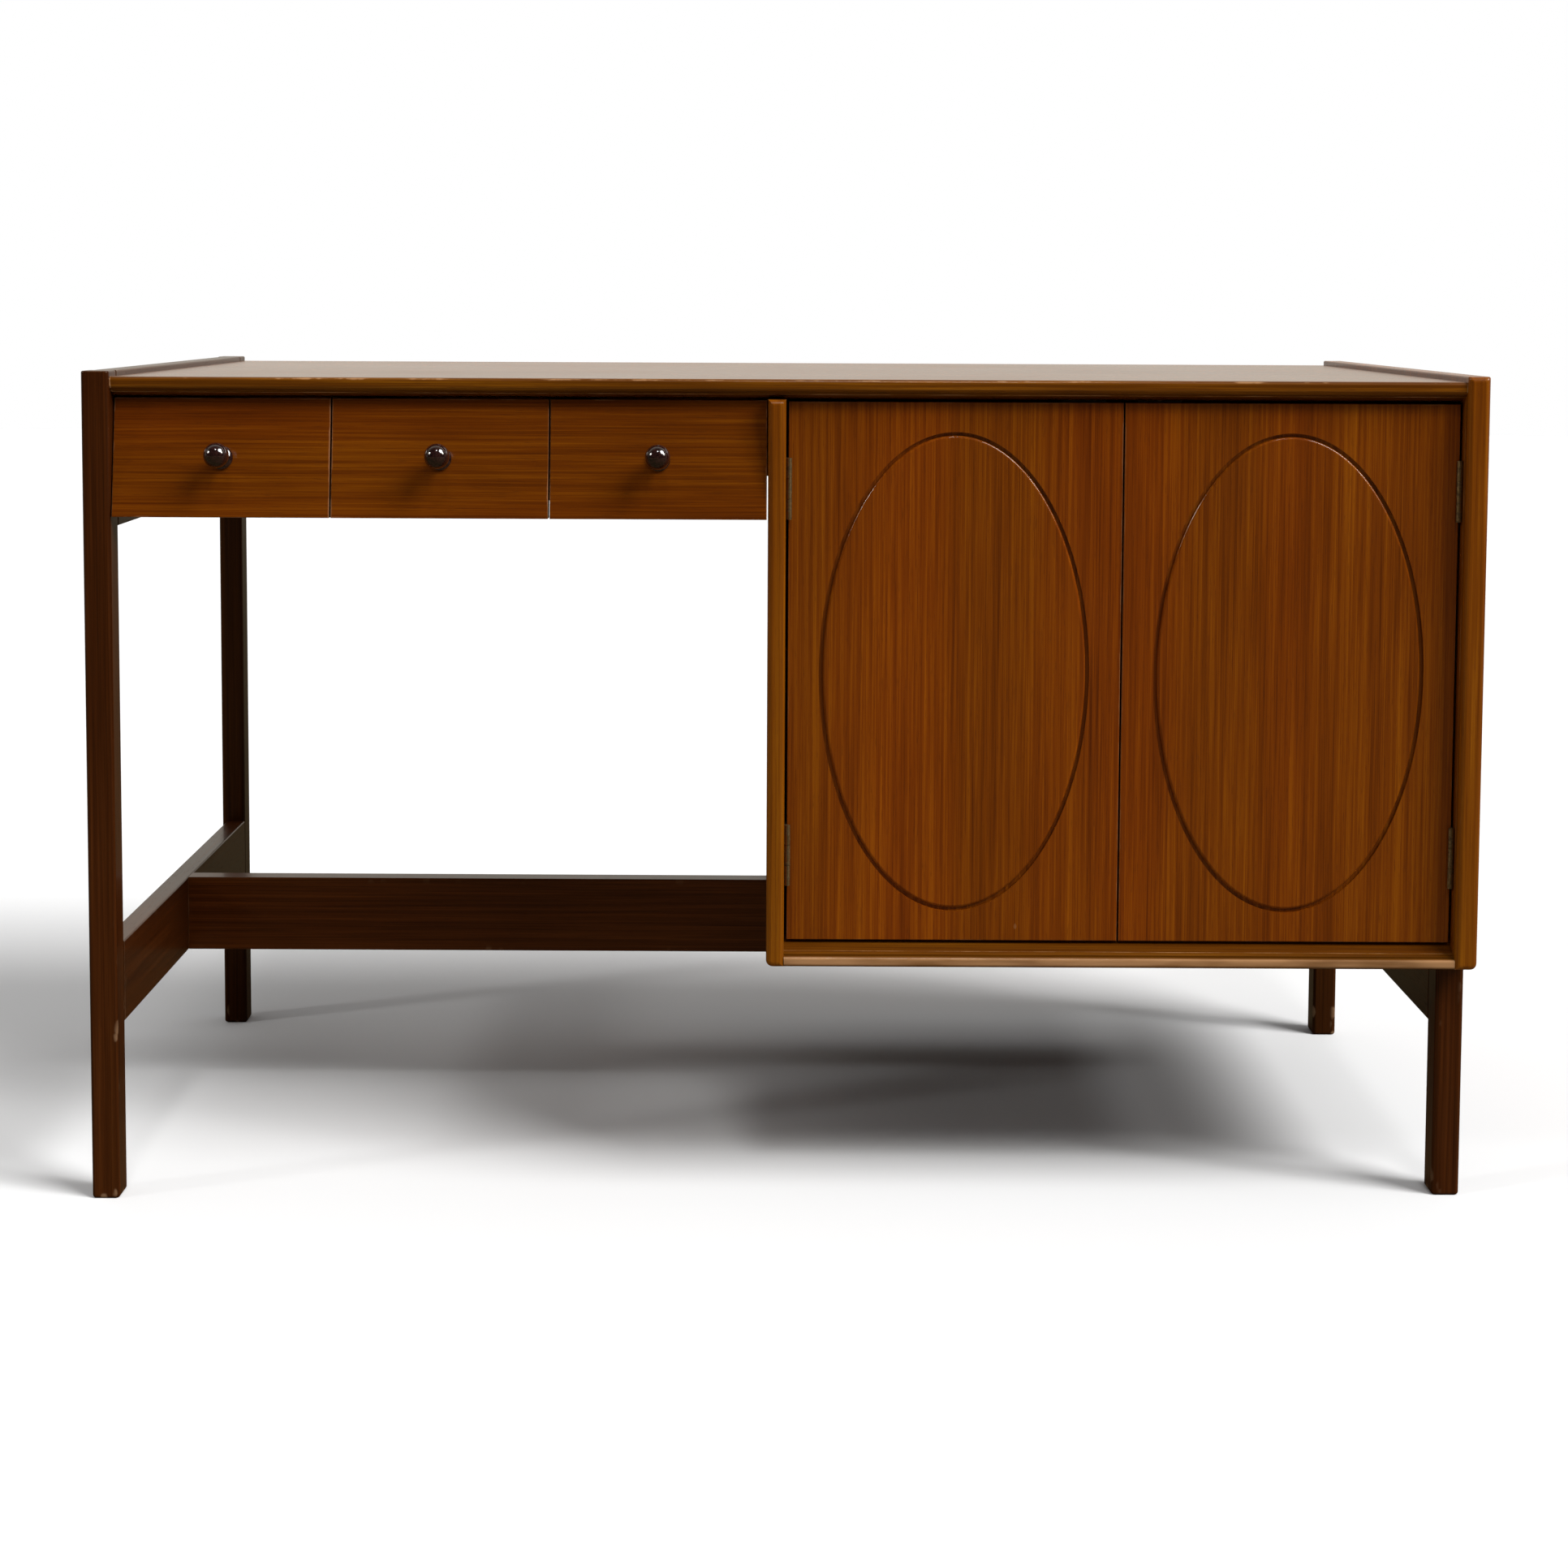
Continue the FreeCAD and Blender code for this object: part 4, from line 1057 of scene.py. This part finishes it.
@dataclass(frozen=True)
class Catch:
    """A magnetic catch: a moulded body with a pocket for a magnet between two steel plates."""

    low: Vector
    high: Vector
    rounding: float = 0.0007
    pocket_half: float = 0.0085
    pocket_wall: float = 0.0012
    pocket_deep: float = 0.0016
    plate_thick: float = 0.0012
    plate_pitch: float = 0.0062
    plate_proud: float = 0.0002
    magnet_tall: float = 0.0044
    magnet_sunk: float = 0.0004
    play: float = 0.0004

    @property
    def middle(self) -> Vector:
        """The body's middle."""
        return (self.low + self.high) / 2

    def body(self, name: str) -> bpy.types.Object:
        """Models the body with its pocket.

        Args:
            name: The piece's name.

        Returns:
            The body.
        """
        bench = self._block(name, self.low, self.high)
        bench.ease(self.rounding)

        def on_front(face: bmesh.types.BMFace) -> bool:
            """Whether a face is part of the flat front."""
            return face.normal.y < -Bench.FACING and face.calc_area() > (3.0 * self.pocket_wall) ** 2

        for side in (-1, 1):
            bench.pick(on_front)
            bench.split((self.middle.x + side * self.pocket_half, 0.0, 0.0), (1.0, 0.0, 0.0))
        bench.pick(lambda face: on_front(face) and self._is_central(face))
        bench.inset(self.pocket_wall)
        bench.push((0.0, self.pocket_deep, 0.0))
        return bench.finish()

    def poles(self, name: str) -> bpy.types.Object:
        """Models the two plates and the magnet between them.

        Args:
            name: The piece's name.

        Returns:
            The three, joined.
        """
        reach = self.pocket_half - self.pocket_wall - self.play
        rows = (
            (-self.plate_pitch / 2, self.plate_thick, -self.plate_proud),
            (0.0, self.magnet_tall, self.magnet_sunk),
            (self.plate_pitch / 2, self.plate_thick, -self.plate_proud),
        )
        blocks = []
        for index, (up, tall, front) in enumerate(rows):
            low = Vector((self.middle.x - reach, self.low.y + front, self.middle.z + up - tall / 2))
            high = Vector((self.middle.x + reach, self.low.y + self.pocket_deep, low.z + tall))
            bench = self._block(f"{name}_{index}", low, high)
            bench.ease(0.15 * self.plate_thick)
            blocks.append(bench.finish())
        return joined(name, blocks)

    def _is_central(self, face: bmesh.types.BMFace) -> bool:
        """Whether a face lies between the two cuts at the pocket's ends."""
        return abs(face.calc_center_median().x - self.middle.x) < self.pocket_half / 2

    @staticmethod
    def _block(name: str, low: Vector, high: Vector) -> Bench:
        """Starts a block between two corners."""
        return Bench(
            name, bpy.ops.mesh.primitive_cube_add, size=1.0,
            location=tuple((low + high) / 2), scale=tuple(high - low),
        )


def joined(name: str, pieces: Sequence[bpy.types.Object]) -> bpy.types.Object:
    """Joins pieces into one.

    Args:
        name: The joined piece's name.
        pieces: The pieces, each with its place in its mesh.

    Returns:
        The joined piece.
    """
    bpy.ops.object.select_all(action="DESELECT")
    for piece in pieces:
        piece.select_set(True)
    bpy.context.view_layer.objects.active = pieces[0]
    if len(pieces) > 1:
        bpy.ops.object.join()
    pieces[0].name = name
    return pieces[0]


# ------------------------------------------------------------------ camera and studio


@dataclass
class Viewpoint:
    """The camera, straight in front of the desk and a little above its top."""

    across: float = -0.0151
    back: float = -2.5665
    height: float = 0.815
    pitch: float = math.radians(85.867)
    roll: float = math.radians(-0.244)
    turn: float = math.radians(0.183)
    lens: float = 59.084
    sensor: float = 36.0
    slide: float = 0.015
    rise: float = -0.19

    def build(self) -> None:
        """Makes the camera and hands it to the scene."""
        data = bpy.data.cameras.new("viewpoint")
        data.lens = self.lens
        data.sensor_width = self.sensor
        data.shift_x = self.slide
        data.shift_y = self.rise
        camera = bpy.data.objects.new("viewpoint", data)
        camera.location = (self.across, self.back, self.height)
        camera.rotation_euler = Euler((self.pitch, self.roll, self.turn), "XYZ")
        bpy.context.scene.collection.objects.link(camera)
        bpy.context.scene.camera = camera


@dataclass
class Lamp:
    """A soft, distant light. Its bearing, height and spread are in degrees."""

    name: str
    bearing: float
    height: float
    strength: float
    spread: float
    tint: Colour = (1.0, 1.0, 1.0)

    def build(self) -> None:
        """Adds the light, aimed at the desk from its bearing (0 is in front, 90 the right) and height."""
        data = bpy.data.lights.new(self.name, "SUN")
        data.energy = self.strength
        data.angle = math.radians(self.spread)
        data.color = self.tint
        lamp = bpy.data.objects.new(self.name, data)
        tilt = math.radians(90.0 - self.height)
        lamp.rotation_euler = Euler((tilt, 0.0, math.radians(self.bearing)), "XYZ")
        bpy.context.scene.collection.objects.link(lamp)


@dataclass
class Studio:
    """A pale floor under a soft white ceiling light, with lamps and two soft windows in front."""

    floor_reach: float = 14.0
    floor_marks: float = 0.99
    marks_scale: float = 3.0
    floor_colour: Colour = (0.80, 0.80, 0.80)
    floor_in_mirror: Colour = (0.062, 0.046, 0.020)
    floor_in_shade: Colour = (0.34, 0.325, 0.30)
    ceiling: float = 0.80
    ceiling_span: Span = (0.55, 0.95)
    low_sky: float = 0.02
    mirror_back: float = 0.76
    mirror_front: float = 0.02
    mirror_span: Span = (-0.25, 0.45)
    wall_tint: Colour = (1.0, 0.95, 0.84)
    window_shine: float = 9.0
    window_bearing: float = math.radians(70.0)
    window_height: float = math.radians(24.0)
    window_reach: float = math.radians(9.0)
    window_core: float = 0.7
    lamps: Sequence[Lamp] = field(default_factory=lambda: (
        Lamp("right_lamp", 60.0, 45.0, 3.40, 29.0),
        Lamp("front_spark", 6.0, 58.0, 0.45, 8.0),
        Lamp("right_spark", 68.0, 28.0, 0.55, 7.0),
        Lamp("left_spark", -66.0, 26.0, 0.40, 6.0),
    ))

    def build(self) -> None:
        """Builds the floor, the sky and the lamps, and picks plain colours for the picture."""
        self._floor()
        self._sky()
        for lamp in self.lamps:
            lamp.build()
        bpy.context.scene.view_settings.view_transform = "Standard"

    def _floor(self) -> None:
        """Lays the floor, with faint marks in its matte paint."""
        bpy.ops.mesh.primitive_circle_add(vertices=96, radius=self.floor_reach, fill_type="NGON")
        floor = bpy.context.active_object
        floor.name = "studio_floor"
        material = bpy.data.materials.new("studio_paint")
        material.use_nodes = True
        recipe = Recipe(material.node_tree)
        marks = recipe.noise(recipe.place(), self.marks_scale, detail=3.0)
        marked = tuple(self.floor_marks * part for part in self.floor_colour)
        paint = recipe.mix(marks, self.floor_colour, marked)
        in_mirror = recipe.node("ShaderNodeLightPath", output="Is Glossy Ray")
        in_shade = recipe.node("ShaderNodeLightPath", output="Is Diffuse Ray")
        paint = recipe.mix(in_mirror, paint, self.floor_in_mirror)
        paint = recipe.mix(in_shade, paint, self.floor_in_shade)
        inputs = {"Base Color": paint, "Roughness": 0.9, "Specular IOR Level": 0.1}
        shader = recipe.node("ShaderNodeBsdfPrincipled", None, inputs)
        recipe.deliver("ShaderNodeOutputMaterial", shader)
        floor.data.materials.append(material)

    def _sky(self) -> None:
        """Makes the surroundings.

        The camera sees plain white. Soft light comes from the ceiling. Gloss sees a pale wall behind
        the desk, dim walls in front of it and a window at each side.
        """
        world = bpy.data.worlds.new("studio_sky")
        bpy.context.scene.world = world
        world.use_nodes = True
        recipe = Recipe(world.node_tree)
        way = recipe.node("ShaderNodeTexCoord", output="Generated")
        up = recipe.part(way, 2)
        back = recipe.part(way, 1)
        lit = self.low_sky + (self.ceiling - self.low_sky) * up.ramp(*self.ceiling_span)
        paler = back.ramp(*self.mirror_span)
        mirrored = self.mirror_front + (self.mirror_back - self.mirror_front) * paler
        for side in (-1.0, 1.0):
            mirrored = mirrored + self.window_shine * self._window(recipe, way, side)
        seen = recipe.node("ShaderNodeLightPath", output="Is Camera Ray")
        glossy = recipe.node("ShaderNodeLightPath", output="Is Glossy Ray")
        strength = seen + (1.0 - seen) * (glossy * mirrored + (1.0 - glossy) * lit)
        tint = recipe.mix(glossy * (1.0 - seen), (1.0, 1.0, 1.0), self.wall_tint)
        light = recipe.node("ShaderNodeBackground", None, {"Color": tint, "Strength": strength})
        recipe.deliver("ShaderNodeOutputWorld", light)

    def _window(self, recipe: Recipe, way: Shade, side: float) -> Shade:
        """A round soft window that only gloss shows.

        Args:
            recipe: The sky's tree.
            way: The direction that is looked in.
            side: -1 for the left window, 1 for the right one.

        Returns:
            1 in the window and 0 outside.
        """
        level = math.cos(self.window_height)
        aim = (
            side * math.sin(self.window_bearing) * level,
            -math.cos(self.window_bearing) * level,
            math.sin(self.window_height),
        )
        settings = {"operation": "DOT_PRODUCT"}
        nearness = recipe.node("ShaderNodeVectorMath", settings, {0: way, 1: aim}, "Value")
        core = self.window_core * self.window_reach
        return nearness.ramp(math.cos(self.window_reach), math.cos(core))


# ------------------------------------------------------------------ the desk


HINGE_SCREW = Screw(head=0.0026, head_tall=0.001, shank=0.00125, length=0.012)
HINGE_PITCH = 0.033
"""The two screws of one hinge leaf are this far apart."""


def hinge_spots(node: str, in_case: bool) -> list[Spot]:
    """Where a group of hinge screws has its heads, and the way that each points.

    The catches are over the gap between the doors, so a door's screws are left or right of them.

    Args:
        node: The CAD node of the plain screws.
        in_case: Whether they are the case's screws, at both sides, or one door's.

    Returns:
        A spot for each screw.
    """
    low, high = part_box(node)
    catches_low, catches_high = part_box("door_catches")
    rim = HINGE_SCREW.head
    deep = (low.y + high.y) / 2
    rows = (low.z + rim, low.z + rim + HINGE_PITCH, high.z - rim - HINGE_PITCH, high.z - rim)
    right = Vector((1.0, 0.0, 0.0))
    if in_case:
        columns = [(low.x + HINGE_SCREW.length, -right), (high.x - HINGE_SCREW.length, right)]
    elif low.x + high.x < catches_low.x + catches_high.x:
        columns = [(low.x, right)]
    else:
        columns = [(high.x, -right)]
    return [(Vector((across, deep, up)), way) for across, way in columns for up in rows]


@dataclass
class SubAssembly(ABC):
    """Some of the CAD nodes, with a finish for each of them."""

    nodes: Mapping[str, bpy.types.Object]

    @abstractmethod
    def finishes(self) -> dict[str, Finish]:
        """The finish of each of this sub-assembly's nodes."""

    def dress(self) -> None:
        """Gives each node its finish."""
        for name, finish in self.finishes().items():
            finish.dress(self.nodes[name])
            LOG.info("%s: %s", name, finish.name)

    def build(self) -> None:
        """Models the new pieces of this sub-assembly, where it has any."""

    def fit(self, piece: bpy.types.Object, finish: Finish, slot: str, body: str,
            stands_for: str | None = None) -> None:
        """Finishes a new piece and fixes it to its body.

        Args:
            piece: The new piece.
            finish: Its finish.
            slot: Not used.
            body: The CAD body that it rides on.
            stands_for: The CAD node that it replaces.
        """
        finish.dress(piece)
        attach(piece, body)
        if stands_for:
            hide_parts(stands_for)
        LOG.info("%s: new, %s", piece.name, finish.name)


@dataclass
class LegFrame(SubAssembly):
    """The stained legs, rails and stretchers, and the dowels and screws in their joints."""

    legs: Sequence[str] = ("left_front_leg", "left_rear_leg", "right_front_leg", "right_rear_leg")
    rails: Sequence[str] = ("left_side_apron", "left_side_stretcher", "right_side_rail")
    base_screw: Screw = Screw(
        head=0.005, head_tall=0.0035, shank=0.0025, length=0.050, raised=True, turns=10)
    base_pitch: float = 0.1812

    def build(self) -> None:
        """Models the screws that hold the cabinet down: two through the rail, three the stretcher."""
        low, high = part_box("base_screws")
        rim = self.base_screw.head
        middle = (low.y + high.y) / 2
        places = [(high.x - rim, low.y + rim), (high.x - rim, high.y - rim)]
        places += [(low.x + rim + step * self.base_pitch, middle) for step in range(3)]
        up = Vector((0.0, 0.0, 1.0))
        spots = [(Vector((across, deep, low.z)), up) for across, deep in places]
        piece = self.base_screw.set_out("slotted_base_screws", spots)
        self.fit(piece, STEEL, "screw_steel", "desk", "base_screws")

    def finishes(self) -> dict[str, Finish]:
        """Each leg's grain runs up, each side rail's to the back and the stretcher's across."""
        upright = {
            leg: DarkStain("dark_stain", grain=Grain.UPRIGHT, seed=5.0 + turn)
            for turn, leg in enumerate(self.legs)
        }
        deep = {
            rail: DarkStain("dark_stain", grain=Grain.DEEP, chips=0.4, seed=20.0 + turn)
            for turn, rail in enumerate(self.rails)
        }
        across = {
            # Lighter than the legs' stain: painted light, because the stretcher stands in shade under the
            # desk.
            "long_stretcher": DarkStain(
                "dark_stain", dark=(0.0220, 0.0046, 0.0004), middle=(0.0570, 0.0135, 0.0014),
                light=(0.1050, 0.0280, 0.0036), chips=0.3, seed=30.0),
        }
        return upright | deep | across | {"frame_dowels": DrawerWood("dowel_wood", seed=31.0)}


@dataclass
class Top(SubAssembly):
    """The writing surface with its lippings."""

    def finishes(self) -> dict[str, Finish]:
        """The veneer runs across, under a glossier coat than the fronts have."""
        return {
            "desk_top": Wood("top_veneer", gloss=0.28, sheen=0.45, coat=0.5, coat_gloss=0.20, seed=11.0),
            # A darker lipping; its pale nosing line is wear and a painted highlight.
            "desk_top_front_lipping": Lipping(
                "lipping", dark=(0.054, 0.0125, 0.0002), middle=(0.114, 0.0320, 0.0006),
                edge_wear_and_highlight=0.70, edge_band_width=0.0014, seed=12.0),
            "desk_top_rear_lipping": Lipping("lipping", seed=13.0),
        }


@dataclass
class Cabinet(SubAssembly):
    """The case behind the doors, with its shelf, catches and hinge halves."""

    nosing_height: float = 0.0095
    catch_wide: float = 0.040
    catch_screw: Screw = Screw(head=0.003, head_tall=0.0016, shank=0.0015, length=0.0256, raised=True)
    catch_pitch: float = 0.030

    def build(self) -> None:
        """Models the hinges' screws in the case, the catches and the catches' screws."""
        screws = HINGE_SCREW.set_out("slotted_frame_screws", hinge_spots("hinge_frame_screws", True))
        self.fit(screws, BRASS, "hinge_brass", "desk", "hinge_frame_screws")

        low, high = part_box("door_catches")
        wide = Vector((self.catch_wide, 0.0, 0.0))
        last = Vector((high.x, low.y, low.z))
        catches = [
            Catch(low, Vector((low.x, high.y, high.z)) + wide),
            Catch(last - wide, high),
        ]
        bodies = [catch.body(f"catch_{turn}") for turn, catch in enumerate(catches)]
        self.fit(joined("moulded_catches", bodies), Plastic("catch_plastic"), "catch_plastic", "desk",
                 "door_catches")
        poles = [catch.poles(f"poles_{turn}") for turn, catch in enumerate(catches)]
        self.fit(joined("catch_magnets", poles), STEEL, "screw_steel", "desk")

        low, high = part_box("catch_screws")
        rim = self.catch_screw.head
        columns = (low.x + rim, low.x + rim + self.catch_pitch,
                   high.x - rim - self.catch_pitch, high.x - rim)
        up = Vector((0.0, 0.0, 1.0))
        spots = [(Vector((across, (low.y + high.y) / 2, low.z)), up) for across in columns]
        piece = self.catch_screw.set_out("slotted_catch_screws", spots)
        self.fit(piece, STEEL, "screw_steel", "desk", "catch_screws")

    def finishes(self) -> dict[str, Finish]:
        """Upright veneer on the sides, across on the floor and the shelf."""
        boards = {
            "cabinet_right_side": DoorVeneer("side_veneer", edge_wear_and_highlight=0.25, specks=0.4, seed=41.0),
            "cabinet_left_side": DoorVeneer("side_veneer", edge_wear_and_highlight=0.0, specks=0.0, seed=42.0),
            "cabinet_bottom": Wood(
                "floor_veneer", dark=(0.034, 0.0084, 0.0003), middle=(0.078, 0.0230, 0.0006),
                light=(0.130, 0.0470, 0.0018), seed=43.0),
            "cabinet_shelf": Wood("shelf_veneer", seed=44.0),
            "cabinet_back": Plywood("back_plywood", grain=Grain.UPRIGHT, seed=45.0),
        }
        strips = {
            "right_side_front_lipping": Lipping("lipping", grain=Grain.UPRIGHT, seed=46.0, edge_wear_and_highlight=0.45),
            "left_side_front_lipping": Lipping("lipping", grain=Grain.UPRIGHT, seed=47.0, edge_wear_and_highlight=0.15),
            # A darker lipping whose nosing band is a painted highlight with patches of wear.
            "bottom_front_lipping": Lipping(
                "lipping", dark=(0.045, 0.0110, 0.0002), middle=(0.098, 0.0300, 0.0004),
                light=(0.165, 0.0600, 0.0020), edge_wear_and_highlight=0.5, edge_band_width=0.0004,
                wear_and_highlight_height=self.nosing_height, seed=48.0),
        }
        fittings = {
            "shelf_pegs": STEEL,
            "hinge_frame_leaves": BRASS,
            "hinge_pins": BRASS,
        }
        return boards | strips | fittings


@dataclass
class DrawerCase(SubAssembly):
    """The rail, dividers and runners that the drawers hang on."""

    def finishes(self) -> dict[str, Finish]:
        """Pale wood, with veneer on the rail that is seen from below."""
        return {
            "drawer_case_back_rail": Wood("rail_veneer", seed=51.0),
            "left_drawer_divider": DrawerWood("divider_wood", grain=Grain.DEEP, seed=52.0),
            "right_drawer_divider": DrawerWood("divider_wood", grain=Grain.DEEP, seed=53.0),
            "drawer_runners": DrawerWood("runner_wood", grain=Grain.DEEP, seed=54.0),
        }


@dataclass
class Drawer(SubAssembly):
    """One drawer with its slanted front and its knob."""

    name: str = "left"
    lean: float = math.radians(8.8)
    knob_screw: Screw = Screw(head=0.0045, head_tall=0.0026, shank=0.002, length=0.0334, raised=True)
    pin: Pin = Pin(head=0.0022, head_tall=0.0006, shank=0.0008, length=0.018)
    pins: int = 4
    pin_setback: float = 0.020

    def build(self) -> None:
        """Models the knob's screw, and the pins that hold the bottom up to the back."""
        drawer = f"{self.name}_drawer"
        low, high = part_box(f"{drawer}_knob_screw")
        way = Vector((0.0, -math.cos(self.lean), math.sin(self.lean)))
        rim = self.knob_screw.head
        head = Vector(((low.x + high.x) / 2, high.y - rim * way.z, low.z - rim * way.y))
        piece = self.knob_screw.set_out(f"{drawer}_slotted_screw", [(head, way)])
        self.fit(piece, STEEL, "screw_steel", drawer, f"{drawer}_knob_screw")

        low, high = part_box(f"{drawer}_back")
        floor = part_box(f"{drawer}_bottom")[0].z
        first = low.x + self.pin_setback
        step = (high.x - low.x - 2 * self.pin_setback) / (self.pins - 1)
        middle = (low.y + high.y) / 2
        up = Vector((0.0, 0.0, 1.0))
        spots = [
            (Vector((first + turn * step, middle, floor - self.pin.head_tall)), up)
            for turn in range(self.pins)
        ]
        piece = self.pin.set_out(f"{drawer}_bottom_pins", spots)
        self.fit(piece, STEEL, "screw_steel", drawer)

    def finishes(self) -> dict[str, Finish]:
        """All three fronts share one run of veneer, cut from a single sheet."""
        drawer = f"{self.name}_drawer"
        return {
            # The front is a panel: its edge faces take pale lines, some wear and some painted highlight.
            f"{drawer}_front": Wood(
                "front_veneer", coat=0.35, panel=True, edge_wear_and_highlight=0.50, specks=0.5, seed=61.0),
            f"{drawer}_left_side": DrawerWood("side_wood", grain=Grain.DEEP, seed=62.0),
            f"{drawer}_right_side": DrawerWood("side_wood", grain=Grain.DEEP, seed=63.0),
            f"{drawer}_back": DrawerWood("side_wood", seed=64.0),
            f"{drawer}_bottom": Plywood("bottom_plywood", seed=65.0),
            f"{drawer}_knob": Lacquer("knob_lacquer"),
        }


@dataclass
class Door(SubAssembly):
    """One door with its oval groove, its hinge halves and its strike."""

    name: str = "left"
    seed: float = 71.0

    def build(self) -> None:
        """Models the slotted screws in the door's hinge leaves."""
        node = f"{self.name}_door_hinge_screws"
        piece = HINGE_SCREW.set_out(f"{self.name}_door_slotted_screws", hinge_spots(node, False))
        self.fit(piece, BRASS, "hinge_brass", f"{self.name}_door", node)

    def finishes(self) -> dict[str, Finish]:
        """The veneer stands upright."""
        door = f"{self.name}_door"
        return {
            # A panel: its edge faces take pale lines, some wear and some painted highlight.
            door: DoorVeneer("door_veneer", panel=True, seed=self.seed),
            f"{door}_hinge_leaves": BRASS,
            f"{door}_strike": STEEL,
        }


def main() -> None:
    """Builds the studio and the desk's looks in order."""
    logging.basicConfig(level=logging.INFO, format="%(name)s: %(message)s")
    Viewpoint().build()
    Studio().build()
    nodes = frame["nodes"]
    parts: list[SubAssembly] = [LegFrame(nodes), Top(nodes), Cabinet(nodes), DrawerCase(nodes)]
    parts += [Drawer(nodes, name) for name in ("left", "middle", "right")]
    parts += [Door(nodes, "left", 71.0), Door(nodes, "right", 86.0)]
    for part in parts:
        part.dress()
        part.build()


if __name__ == "__main__":
    main()
